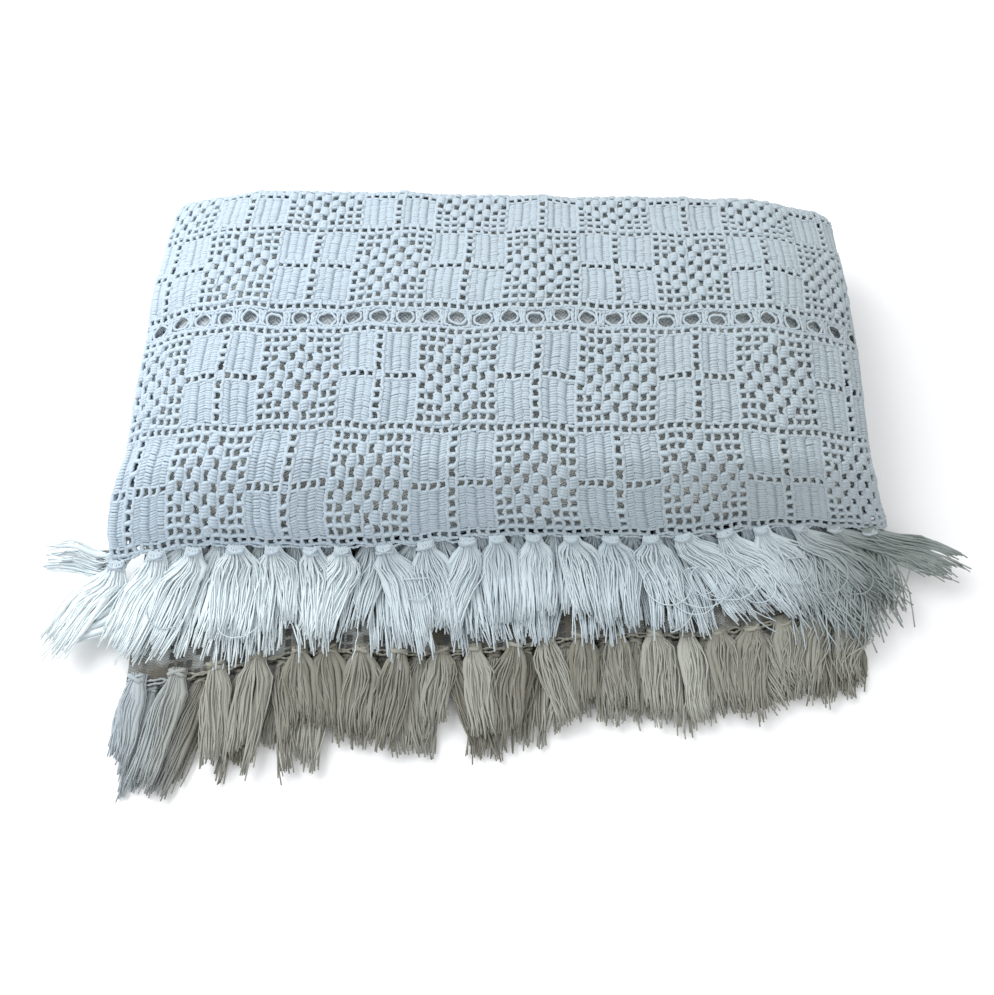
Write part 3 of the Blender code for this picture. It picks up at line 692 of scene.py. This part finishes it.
def raise_yarns(name, ways, radii, beside, **looks):
    """Yarns that stand up from the sheet."""
    piece = make_yarns(name, ways, radii, crochet_cotton, beside, **looks)

# %% [markdown]
# ## The posts
#
# A filled cell is four tall stitches side by side.  Crocheters call them posts, and since the
# rows of this cloth were worked across the bed, the posts lie across the picture.  They lean
# one way in one row and the other way in the next, which makes the herring bone that shows in
# the solid blocks.  In the diamonds of the mesh blocks the four posts of a filled cell bulge,
# because nothing on either side holds them down.

# %% Lay the posts of the filled cells
POSTS = 4
POST_RADIUS, POST_LENGTH, POST_SHIFT = 0.0020, 1.04, 0.05
LEAN = 0.20
chart_cells = np.stack((cell_columns, cell_rows), -1)
raised_cells = is_raised(cell_columns, cell_rows) & ~in_join
filled = chart_cells[raised_cells & ~cell_open]


def lay_posts(name, chosen, bulge, spread, groove, plump=1.0, stray=0.02):
    """Four posts for each chosen cell, as high in their middle as the bulge."""
    column = np.repeat(chosen[:, 0], POSTS)[:, None]
    row = np.repeat(chosen[:, 1], POSTS)[:, None]
    number = np.tile(np.arange(POSTS), len(chosen))[:, None]
    t = np.linspace(0.0, 1.0, 4)[None]
    arch = np.sin(math.pi * t)
    wander = rng.normal(0.0, 0.02, (len(column), 1))
    strayed = np.repeat(rng.normal(0.0, stray, (len(chosen), 2)), POSTS, axis=0)[..., None]
    even = np.mod(column, 2) == 0
    lean = np.where(even, LEAN, -LEAN) * (t - 0.5)
    middle = (number + 0.5) / POSTS - 0.5
    at_row = row + 0.5 + middle * (1 + (spread - 1) * arch) + lean + wander + strayed[:, 0]
    shift = np.where(even, POST_SHIFT, -POST_SHIFT)
    at_column = column + (t - 0.5) * POST_LENGTH + shift + strayed[:, 1]
    sunk = groove * smooth((np.where(even, 1 - t, t) - 0.6) / 0.4)
    lift = bulge * arch * (1 - 1.6 * middle ** 2) - sunk
    lift = lift + rng.normal(0.0, 0.00015, (len(column), 1))
    radii = POST_RADIUS * plump * (0.74 + 0.26 * arch) * rng.uniform(0.95, 1.05, (len(column), 1))
    tones = np.clip(rng.normal(0.25, 0.22, len(column)), 0, 1)
    raise_yarns(name, stitch_at(at_column, at_row, lift), radii, (0, 1, 0), tones=tones)


_, _, in_solid, _ = place_in_block(filled[:, 0], filled[:, 1])
in_front = filled[:, 1] < STRIP
lay_posts("solid_block_posts_front", filled[in_solid & in_front], 0.0006, 1.02, 0.0008)
lay_posts("solid_block_posts_back", filled[in_solid & ~in_front], 0.0006, 1.02, 0.0003)
lay_posts("diamond_posts", filled[~in_solid], 0.0024, 1.10, 0.0009, plump=1.34, stray=0.06)

# %% [markdown]
# ## The net
#
# Between the posts run the chains that every row of crochet ends in, line after line from hem
# to hem.  Since the work is turned at each row, one line stands up and the next lies deep.
# In an open cell only one stitch crosses from chain to chain, and it is the bar between two
# holes.

# %% Chain lines between the columns
CHAIN_LINKS = 3
NET_CHAIN_RADIUS = 0.0026
SOLID_CHAIN_RADIUS = 0.0013
FLAT = 0.78


def lay_chains(name, low, high, depth):
    """Lines of chain, sunk by the depth where they run through a solid block's groove."""
    steps = round((high - low) * CHAIN_LINKS * 2)
    rows = np.linspace(low, high, steps + 1)[None]
    columns = (np.arange(FIRST_RAISED - 1, LAST_RAISED + 1) + 0.5)[:, None]
    odd = np.arange(steps + 1)[None] % 2
    inner_rows = np.clip(np.floor(rows), low, high - 1)
    in_solid = ~is_open(columns - 0.5, inner_rows) & ~is_open(columns + 0.5, inner_rows)
    groove = np.mod(columns - 0.5, 2) == 1
    proud = np.where(in_solid, np.where(groove, -depth, 0.0002), np.where(groove, 0.0, 0.0006))
    sway = 0.06 * np.sin(rows * math.pi * CHAIN_LINKS) * np.where(odd, 1, -1)
    sway = sway + 0.05 * np.sin(rows * 4.1 + columns * 2.3)
    ways = stitch_at(columns + sway, rows, proud + 0.0004 * odd)
    radii = np.where(in_solid, SOLID_CHAIN_RADIUS, NET_CHAIN_RADIUS) * np.where(odd, 1.16, 0.86)
    tones = np.clip(rng.normal(0.15, 0.1, len(columns)), 0, 1)
    raise_yarns(name, ways, radii, (1, 0, 0), tones=tones, flat=FLAT)


lay_chains("chains_front", 0.0, STRIP, 0.0014)
lay_chains("chains_back", PERIOD, PERIOD + STRIP, 0.0007)
lay_chains("chains_fold", 2 * PERIOD, LAST_RAISED_ROW, 0.0007)

# %% Bars between open cells
BAR_RADIUS, LIP_RADIUS, BAR_LIFT = 0.0033, 0.0020, 0.0006


def lay_bars(name, columns, rows, radius):
    """One short yarn across each open cell, from chain to chain."""
    columns, rows = columns[:, None], rows[:, None]
    t = np.linspace(0.0, 1.0, 4)[None]
    arch = np.sin(math.pi * t)
    wander = rng.normal(0.0, 0.05, columns.shape)
    slope = rng.normal(0.0, 0.09, columns.shape)
    at_row = rows + wander + slope * (t - 0.5)
    ways = stitch_at(columns + (t - 0.5) * 1.05, at_row, BAR_LIFT + 0.0003 * arch)
    radii = radius * (0.92 + 0.08 * arch) * rng.uniform(0.86, 1.14, columns.shape)
    tones = np.clip(rng.normal(0.25, 0.2, len(columns)), 0, 1)
    raise_yarns(name, ways, radii, (0, 1, 0), tones=tones, flat=FLAT)


open_columns, open_rows = chart_cells[raised_cells & cell_open].T
above_open = is_open(open_columns, open_rows + 1) & ~is_join(open_rows + 1)
lay_bars("bars_of_the_net", open_columns[above_open], open_rows[above_open] + 1, BAR_RADIUS)
_, k, in_solid, divider = place_in_block(open_columns, open_rows)
narrow = divider | (in_solid & (k == BLOCK // 2))
for share, name in ((0.10, "lower_lips_of_narrow_rows"), (0.88, "upper_lips_of_narrow_rows")):
    lay_bars(name, open_columns[narrow], open_rows[narrow] + share, LIP_RADIUS)

# %% [markdown]
# ## The join of round eyelets
#
# Two strips of the cloth are joined by an open lace: a ring of stitches round each eyelet, and
# bars that fan out between the rings like a V, on a thick scalloped band.  In the picture the
# eyelets wander up and down, as they were worked by hand.  The rings and bars are yarns again.

# %% Rings, fans and bands of each join
RING_RADIUS, FAN_RADIUS, BAND_RADIUS = 0.0018, 0.0019, 0.0016
FEET_AND_HEADS = ((1.46, 1.12), (1.38, 1.36))
BANDS = (
    # level over the join's lower edge, depth of the scallops
    (-0.10, 0.04), (0.12, 0.12), (JOIN - 0.10, -0.10), (JOIN + 0.10, 0.03),
)


def lay_join(number, low):
    """The lace between two strips, from its lower edge upward."""
    first = math.ceil(FIRST_RAISED / EYELET_PITCH)
    last = math.floor((LAST_RAISED - 1) / EYELET_PITCH)
    middles = (np.arange(first, last + 1) * EYELET_PITCH + 0.5)[:, None]
    up = low + JOIN / 2 + rng.normal(0.0, 0.14, middles.shape)
    around = np.linspace(0, 2 * math.pi, 17)[None]
    turned = around + rng.uniform(0, 2, middles.shape)
    columns = middles + (0.98 + 0.09 * np.sin(2 * turned)) * np.cos(around)
    rows = up + (0.76 + 0.09 * np.cos(3 * turned)) * np.sin(around)
    radii = RING_RADIUS * (1 + 0.22 * np.sin(7 * around)) * np.ones(middles.shape)
    raise_yarns(f"join_{number}_rings", stitch_at(columns, rows, 0.0004), radii, (0, 0, 1),
                tones=rng.uniform(0, 0.5, len(middles)))

    t = np.linspace(0, 1, 6)[None]
    columns, rows = [], []
    for side in (-1, 1):
        for foot, head in FEET_AND_HEADS:
            strayed = rng.normal(0, 0.10, (len(middles), 2, 1))
            columns.append(middles + side * (foot + (head - foot) * t) + strayed[:, 0])
            rows.append(low + 0.12 + (JOIN - 0.20) * t + strayed[:, 1])
    fans = stitch_at(np.concatenate(columns), np.concatenate(rows), 0.0006)
    radii = FAN_RADIUS * np.where(np.arange(6) % 2, 1.2, 0.8)[None] * np.ones((len(fans), 1))
    raise_yarns(f"join_{number}_fans", fans, radii, (1, 0, 0),
                tones=rng.uniform(0, 0.5, len(fans)))

    along = np.arange(FIRST_RAISED, LAST_RAISED, 0.25)[None]
    lumps = np.arange(along.shape[1])[None] % 2
    bands = []
    for level, depth in BANDS:
        scallop = depth * np.cos(2 * math.pi * (along - 0.5) / EYELET_PITCH)
        scallop = scallop + 0.03 * np.sin(5.3 * along + 9 * level)
        bands.append(stitch_at(along, low + level - scallop, 0.0005 + 0.0006 * lumps))
    radii = BAND_RADIUS * np.where(lumps, 1.25, 0.80) * np.ones((len(bands), 1))
    raise_yarns(f"join_{number}_bands", np.concatenate(bands), radii, (0, 1, 0.3))


lay_join(1, STRIP)
lay_join(2, PERIOD + STRIP)

# %% [markdown]
# ## Tassels
#
# Each tassel is a hank of threads, looped through the hem, tied just under it and left to
# hang.  There are three plies at each hem, and each ply has its own row of tassels.  A hair
# system could grow them, but the knots and the way they lie matter more than the number of
# threads.  So a tassel is laid out flat first: where each thread starts in the knot, the
# clump that its tip joins, and how thick the hank is.  Then the fold's formula lays it down.
# A few thick strands inside keep the hank closed, and two turns of thread wrap its neck.
# To the left and right the tassels lean outward, as they fell when the pile was put down.

# %% What the two fringes are like
top_fringe = SimpleNamespace(
    name="top_tassels", slot="top_fringe_cotton", node="top_hem_fringe",
    cotton=lit_top_tassel_cotton, wrap_cotton=crochet_cotton,
    hem=TOP_HEM, way=1, inset=0.003, jitter=0.0022, threads=(28, 66, 28),
    longest=0.124, uneven=(0.86, 1.08), wide=(0.0155, 0.0262), thick=0.0125,
    lean=((-0.392, -40), (-0.345, -27), (-0.290, -13), (-0.220, -5), (0.080, 0),
          (0.150, 8), (0.210, 28), (0.270, 40), (0.330, 40), (0.383, 52)),
    lengths=((-0.392, 0.72), (-0.340, 1.00), (0.300, 1.00), (0.383, 0.88)),
    loose=(7.0, 3), wild=1.0, tone_spread=0.07, root_shade=0.80,
)
lower_fringe = SimpleNamespace(
    name="lower_tassels", slot="lower_fringe_cotton", node="lower_hem_fringe",
    cotton=shaded_lower_tassel_cotton, wrap_cotton=shaded_lower_tassel_cotton,
    hem=LOWER_HEM, way=-1, inset=0.008, jitter=0.0034, threads=(30, 30, 52),
    longest=0.102, uneven=(0.80, 1.07), wide=(0.0130, 0.0205), thick=0.0110,
    lean=((-0.392, -11), (-0.300, -6), (-0.180, -3), (0.100, 0), (0.300, -3), (0.383, -8)),
    lengths=((-0.392, 1.00), (-0.250, 1.00), (0.000, 0.90), (0.383, 0.86)),
    loose=(8.0, 0), wild=0.4, tone_spread=0.10, root_shade=0.25,
)
print("threads of a top tassel:", top_fringe.threads, " of a lower one:", lower_fringe.threads)

# %% Where a tassel lies in the pile
SEAM_GAP = 0.0005
LEFT_CORNER_LEAN, RIGHT_CORNER_LEAN = {PLY: -30, 0.0: -82, -PLY: -58}, 38.0
INNER_LEFT, INNER_RIGHT = (0.335, 0.045), (0.24, 0.10)


def lean_of(fringe, x, offset, number):
    """Degrees to the right.  At the upper left corner the inner tassels lie far out."""
    leaning = read_table(fringe.lean, x) + 2 * math.sin(1.7 * number + 90 * offset)
    if fringe is lower_fringe:
        return leaning
    if number == 0:
        return LEFT_CORNER_LEAN[offset]
    if number == TASSELS - 1 and offset > 0:
        return RIGHT_CORNER_LEAN
    if offset < PLY / 2:
        leaning -= 26 * grown(-x, INNER_LEFT)
        leaning *= 1 - 0.75 * grown(x, INNER_RIGHT)
    return leaning


def lay_tassel(flat, fringe, start, leaning, x, offset, inset):
    """Moves points from a flat tassel to their place in the pile."""
    across, away, up = flat
    if inset:
        # Knotted a little way in from the hem, it starts on top of the cloth.
        up = up + (THICKNESS + 0.0010) * (1 - smooth((away - inset) / 0.020))
    way, lowest = fringe.way, -PLY * fringe.way
    share = np.clip(away / fringe.longest, 0.0, 1.0)
    turned = np.radians(leaning) * (0.45 + 0.55 * smooth(share * 2.2))
    aside = away * np.sin(turned) + across * np.cos(turned)
    ahead = away * np.cos(turned) - across * np.sin(turned)
    base = lowest + (offset - lowest) * (1 - 0.30 * smooth(share)) - way * THICKNESS / 2
    return fold_up(x + aside, base + way * up, start - way * (SEAM_GAP + ahead))


# %% One tassel laid out flat: its threads, its core and the wraps of its knot
KNOT_AT = 0.0062
THREAD_RADIUS, CORE_RADIUS, WRAP_RADIUS = 0.0010, 0.0042, 0.0019
THREAD_NECK, CORE_NECK = 0.0072, 0.0060
STATIONS = 9
CLUMPS = 6
CORES = 5


def flat_threads(count, length, skirt, thick, wild):
    """Threads from the hem through the knot to the tips: across, away and up."""
    t = np.linspace(0.0, 1.0, STATIONS)[None] ** 1.05
    seat = ((np.arange(count) + rng.uniform(0, 1, count)) / count * 2 - 1)[:, None]
    level = rng.uniform(0, 1, (count, 1)) ** 0.7
    clumps, reaches = rng.uniform(-1, 1, CLUMPS), rng.normal(1.0, 0.05, CLUMPS)
    chosen = np.argmin(abs(seat - clumps[None]), 1)
    clump, reach = clumps[chosen][:, None], reaches[chosen][:, None]
    away = length * (reach + rng.normal(0, 0.03 + 0.05 * wild, (count, 1))) * t
    past = away - KNOT_AT
    shoulder = rng.uniform(0.12, 0.30)
    opened = 0.80 * smooth(past / (shoulder * length)) + 0.20 * smooth(past / (0.5 * length))
    opened = opened * (1 - 0.12 * smooth((t - 0.45) / 0.55))
    gather = 0.28 * smooth((t - 0.35) / 0.65)
    fan = seat * (1 - gather) + clump * gather
    across = fan * (THREAD_NECK + (skirt - THREAD_NECK) * opened)
    lazy = rng.normal(0, 0.0020 + 0.0026 * wild) * np.sin(rng.uniform(3.0, 6.0) * t)
    bend = rng.normal(0, 0.0012 + 0.0030 * wild, (count, 1))
    across = across + (bend + lazy) * opened * np.sin(3.4 * t)
    curl = (0.0013 + 0.0030 * wild) * opened * rng.uniform(0.2, 1.7, (count, 1))
    across = across + curl * np.sin(8 * t + rng.uniform(0, 6.3, (count, 1)))
    dome = np.sqrt(np.clip(1 - fan ** 2, 0.10, 1))
    body = 0.0070 * (1 - opened) + thick * opened * (1 - 0.66 * smooth((t - 0.25) / 0.75))
    up = THREAD_RADIUS + level * (body * dome)
    up = up + 0.4 * curl * (1 + np.sin(7 * t + rng.uniform(0, 6.3, (count, 1)))) * (level > 0.6)
    return across, away, up + rng.uniform(0, 0.004) * opened


def flat_cores(length, skirt, thick):
    """The closed inside of the hank: a few thick strands, side by side and shorter."""
    t = np.linspace(0.0, 1.0, STATIONS)[None]
    seat = np.linspace(-0.72, 0.72, CORES)[:, None]
    away = (0.86 + rng.uniform(-0.05, 0.05, (CORES, 1))) * length * t
    opened = smooth((away - KNOT_AT) / (0.22 * length))
    across = seat * (CORE_NECK + (skirt - CORE_NECK) * opened)
    across = across + rng.normal(0, 0.0008, (CORES, 1)) * np.sin(5 * t)
    up = 0.0032 + 0.30 * thick * opened * (1 - 0.7 * t) * np.sqrt(1 - seat ** 2)
    return across, away, up


def flat_wraps(width):
    """Two thick turns that cross over the neck: across, away and up."""
    around = np.linspace(0, 2 * math.pi, 11)[None]
    cross = np.array([-0.0024, 0.0024])[:, None] + rng.normal(0, 0.0010, (2, 1))
    across = width * np.cos(around) + rng.normal(0, 0.0006, (2, 1))
    away = KNOT_AT - 0.0010 + cross * np.cos(around)
    return across, away, 0.0046 + 0.0030 * np.sin(around) + 0 * cross


# %% All the tassels of one hem
CORNER_LENGTHS, CORNER_WIDE = {PLY: 1.02, 0.0: 0.72, -PLY: 0.60}, 0.0210
WILD_PART, CALM = (0.16, 0.20), 0.12
CORE_TAPER = np.array([[0.5, 0.8, 1.0, 1.0, 0.95, 0.9, 0.8, 0.6, 0.25]])


def shade_and_tone_of(fringe, x, inner):
    """A tassel's tone, partly at random and partly painted shade: darker in the middle of the
    top fringe, for the inner tassels on the right and over most of the lower fringe, which is
    lighter around x = 0.17.  A higher one brings its yarn nearer to the dark colour.
    """
    tone_and_shade = rng.uniform(0.0, 0.32) + 0.45 * smooth((0.20 - abs(x)) / 0.12)
    if fringe is lower_fringe:
        tone_and_shade = rng.uniform(0.34, 1.0) - 0.35 * smooth((0.09 - abs(x - 0.17)) / 0.05)
        tone_and_shade += 0.15 * smooth((x - 0.25) / 0.05)
    elif inner and x > 0.24:
        tone_and_shade = rng.uniform(0.35, 0.80)
    return tone_and_shade


def make_tassels(fringe):
    """One mesh of threads, one of the cores inside them and one of the knots' wraps."""
    on_top, longest = fringe is top_fringe, fringe.longest
    threads, cores, wraps, tones, core_tones = [], [], [], [], []
    for offset, count in zip((0.0, PLY, -PLY), fringe.threads):
        inner = offset != fringe.way * PLY
        inset = 0.0 if inner else fringe.inset
        for number in range(TASSELS):
            x = LEFT_FOLD_X + END_MARGIN + (SPAN - 2 * END_MARGIN) * number / (TASSELS - 1)
            x += rng.normal(0, fringe.jitter)
            if inner and 0 < number < TASSELS - 1:
                x += TASSEL_PITCH / 2 + rng.normal(0, 0.003)
            wild = grown(x, WILD_PART) * fringe.wild + CALM
            length = longest * read_table(fringe.lengths, x) * rng.uniform(*fringe.uneven)
            leaning = lean_of(fringe, x, offset, number)
            loose = rng.normal(0, fringe.loose[0] + fringe.loose[1] * wild)
            start = fringe.hem + fringe.way * inset
            wide = rng.uniform(*fringe.wide)
            if number > 0:
                leaning += loose
            else:
                wide = CORNER_WIDE if on_top else 0.62 * wide
            if on_top and inner and x > 0.27:
                length *= 1.22
            if on_top and number == 0:
                length = longest * CORNER_LENGTHS[offset]
                start = fringe.hem - (0.052 if offset < 0 else 0.0)
                x -= 0.024 if offset < 0 else 0.0
            if on_top and number == TASSELS - 1 and not inner:
                wild, wide, length = 0.25, 0.0240, 0.82 * longest
            place = (fringe, start, leaning, x, offset, inset)
            flat = flat_threads(count, length, wide, fringe.thick, wild)
            threads.append(lay_tassel(flat, *place))
            cores.append(lay_tassel(flat_cores(length, wide, fringe.thick), *place))
            wraps.append(lay_tassel(flat_wraps(rng.uniform(0.0058, 0.0086)), *place))
            tone_and_shade = shade_and_tone_of(fringe, x, inner)
            tones.append(np.clip(rng.normal(tone_and_shade, fringe.tone_spread, count), 0, 1))
            # The cores are a little darker than their threads: painted shade inside the hank.
            core_tones.append(np.clip(rng.normal(tone_and_shade + 0.08, 0.05, CORES), 0, 1))
    threads, cores, wraps = (np.concatenate(ways) for ways in (threads, cores, wraps))
    root_shade = fringe.root_shade * (1 - smooth(np.linspace(0, 1, STATIONS)[None] / 0.22))
    tones = np.clip(np.concatenate(tones)[:, None] + root_shade, 0, 1)
    core_tones = np.clip(np.concatenate(core_tones)[:, None] + root_shade, 0, 1)

    threads[..., 2] = np.maximum(threads[..., 2], THREAD_RADIUS + 0.0001)
    thin = np.linspace(1.0, 0.78, STATIONS) * THREAD_RADIUS
    radii = thin[None] * rng.uniform(0.85, 1.2, (len(threads), 1))
    threads_piece = make_yarns(f"{fringe.name}_threads", threads, radii, fringe.cotton, (1, 0.2, 0),
                               sides=3, tones=tones)
    radii = CORE_RADIUS * CORE_TAPER * np.ones((len(cores), 1))
    cores[..., 2] = np.maximum(cores[..., 2], radii + 0.0002)
    cores_piece = make_yarns(f"{fringe.name}_cores", cores, radii, fringe.cotton, (1, 0.2, 0),
                             tones=core_tones)
    # The wraps' tones lean dark, and at the top hem the wraps take the cloth's darker cotton:
    # painted shade at the knots.
    wraps[..., 2] = np.maximum(wraps[..., 2], 0.0024)
    lumpy = WRAP_RADIUS * (1 + 0.2 * (np.arange(wraps.shape[1]) % 2))
    radii = lumpy[None] * rng.uniform(0.75, 1.3, (len(wraps), 1))
    wraps_piece = make_yarns(f"{fringe.name}_wraps", wraps, radii, fringe.wrap_cotton, (0, 1, 0.1),
                             tones=rng.uniform(0.4, 1.0, len(wraps)))
    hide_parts(fringe.node)
    return [threads_piece, cores_piece, wraps_piece]


top_tassels = make_tassels(top_fringe)
lower_tassels = make_tassels(lower_fringe)

# %% [markdown]
# ## Hem borders
#
# A thick double chain runs along each hem and gives the tassels something to hang from.  It
# goes round both turns of the letter fold with the cloth, so it is laid by the same formula.

# %% Double chains along both hems
BORDER_POINTS = 1000


def lay_border(name, first_row, second_row, material, radius, tone_and_shade):
    """Two lumpy chains, which rise and sink as their stitches do."""
    along = np.linspace(0.002, SECTION_LENGTH - 0.002, BORDER_POINTS)[None]
    column = np.interp(along, along_values, along_cells)
    lumps = np.arange(BORDER_POINTS)[None] % 4
    wander = 0.09 * np.sin(column * 1.7) + 0.07 * np.sin(column * 4.1 + 1)
    ways = np.concatenate([
        stitch_at(column, first_row + wander, 0.0006 + 0.0005 * (lumps == 1)),
        stitch_at(column, second_row - wander, 0.0010 + 0.0005 * (lumps == 3)),
    ])
    ways[..., 2] = np.maximum(ways[..., 2], 0.0020)
    radii = radius * np.where(lumps % 2 == 1, 1.22, 0.80) * np.ones((2, 1))
    piece = make_yarns(name, ways, radii, material, (0, 1, 0.3), tones=[tone_and_shade, tone_and_shade])
    return piece


last_row = gone_cells[-1]
borders = [
    lay_border("top_hem_border", -0.22, 0.08, crochet_cotton, 0.0017, 0.1),
    # The lower hem's border: the lower fringe's darker cotton and a dark tone, painted shade.
    lay_border("lower_hem_border", last_row + 0.16, last_row - 0.06, shaded_lower_tassel_cotton,
               0.0014, 0.75),
]

# %% [markdown]
# ## Stray threads
#
# A fringe that has been washed and folded is never tidy.  On the right, where it was swept
# aside, single threads curl out of it in loops.  Each is a walk whose direction keeps turning
# by a little more or less, and it lies on top of the tassels.

# %% Loose curls over the top fringe
STRAY_STATIONS = 30
STRAY_RADIUS = 0.0007


def lay_strays(name, count, low_x, high_x):
    """Thin threads that wander over the tassels of the top hem."""
    longest = top_fringe.longest
    ways = []
    for _ in range(count):
        x = rng.uniform(low_x, high_x)
        step = rng.uniform(0.0020, 0.0034)
        turn = rng.choice([-1, 1]) * rng.uniform(0.02, 0.20) + rng.normal(0, 0.03, STRAY_STATIONS)
        heading = rng.uniform(-0.3, 1.0) + np.cumsum(turn)
        across = np.cumsum(step * np.sin(heading))
        away = 0.60 * longest + np.cumsum(step * np.cos(heading))
        away = np.clip(away, 0.4 * longest, 1.25 * longest)
        ripple = 0.001 * np.sin(np.arange(STRAY_STATIONS))
        up = 0.0135 * (1 - 0.75 * smooth(away / longest)) + ripple
        ways.append(fold_up(x + across, PLY + up, TOP_HEM - away))
    ways = np.stack(ways)
    ways[..., 2] = np.maximum(ways[..., 2], 0.0008)
    radii = STRAY_RADIUS * np.ones(ways.shape[:2])
    piece = make_yarns(name, ways, radii, lit_top_tassel_cotton, (0.2, 0.1, 1), sides=3,
                       tones=rng.uniform(0.3, 1.0, count))
    return piece


strays = [
    lay_strays("top_stray_threads", 14, 0.16, 0.34),
    lay_strays("top_few_strays", 4, -0.36, 0.16),
]

# %% [markdown]
# ## The cloth and its pieces
#
# The ground is the sheet of the bedspread, folded with the pile.  The yarns, tassels and
# borders lie on it.

# %% [markdown]
# ## Floor and light
#
# A pale floor without an edge, and the light of a bright overcast room: a wide, slightly cool
# lamp from behind and to the left, a weak warm one from the right, and a pale sky that fills
# the rest.

# %% Pale floor
floor_mesh = bpy.data.meshes.new("floor")
floor_mesh.from_pydata([(-6, -6, 0), (6, -6, 0), (6, 6, 0), (-6, 6, 0)], [], [(0, 1, 2, 3)])
floor_material = bpy.data.materials.new("pale_floor")
floor_material.use_nodes = True
floor_shader = floor_material.node_tree.nodes["Principled BSDF"]
floor_shader.inputs["Base Color"].default_value = (0.93, 0.93, 0.93, 1)
floor_shader.inputs["Roughness"].default_value = 0.95
floor_shader.inputs["Specular IOR Level"].default_value = 0.1
floor_mesh.materials.append(floor_material)
floor = bpy.data.objects.new("floor", floor_mesh)
bpy.context.scene.collection.objects.link(floor)
floor.location.z = -0.0003

# %% Lamps and sky
def add_lamp(name, place, aim, size, watts, colour):
    data = bpy.data.lights.new(name, "AREA")
    data.energy, data.size, data.color = watts, size, colour
    lamp = bpy.data.objects.new(name, data)
    lamp.location = place
    towards = np.array(aim) - np.array(place)
    level = math.hypot(towards[0], towards[1])
    lamp.rotation_euler = (math.atan2(level, -towards[2]), 0.0, math.atan2(-towards[0], towards[1]))
    bpy.context.scene.collection.objects.link(lamp)


add_lamp("window_lamp", (-1.6, 0.9, 1.9), (0, 0, 0), 1.9, 62, (0.97, 0.985, 1.0))
add_lamp("room_lamp", (1.6, -0.8, 1.8), (0, 0, 0), 2.0, 8, (1.0, 0.98, 0.95))
bpy.context.scene.view_settings.view_transform = "Standard"
world = bpy.data.worlds.new("sky")
world.use_nodes = True
world.node_tree.nodes["Background"].inputs["Color"].default_value = (0.97, 0.985, 1.0, 1)
world.node_tree.nodes["Background"].inputs["Strength"].default_value = 0.80
bpy.context.scene.world = world
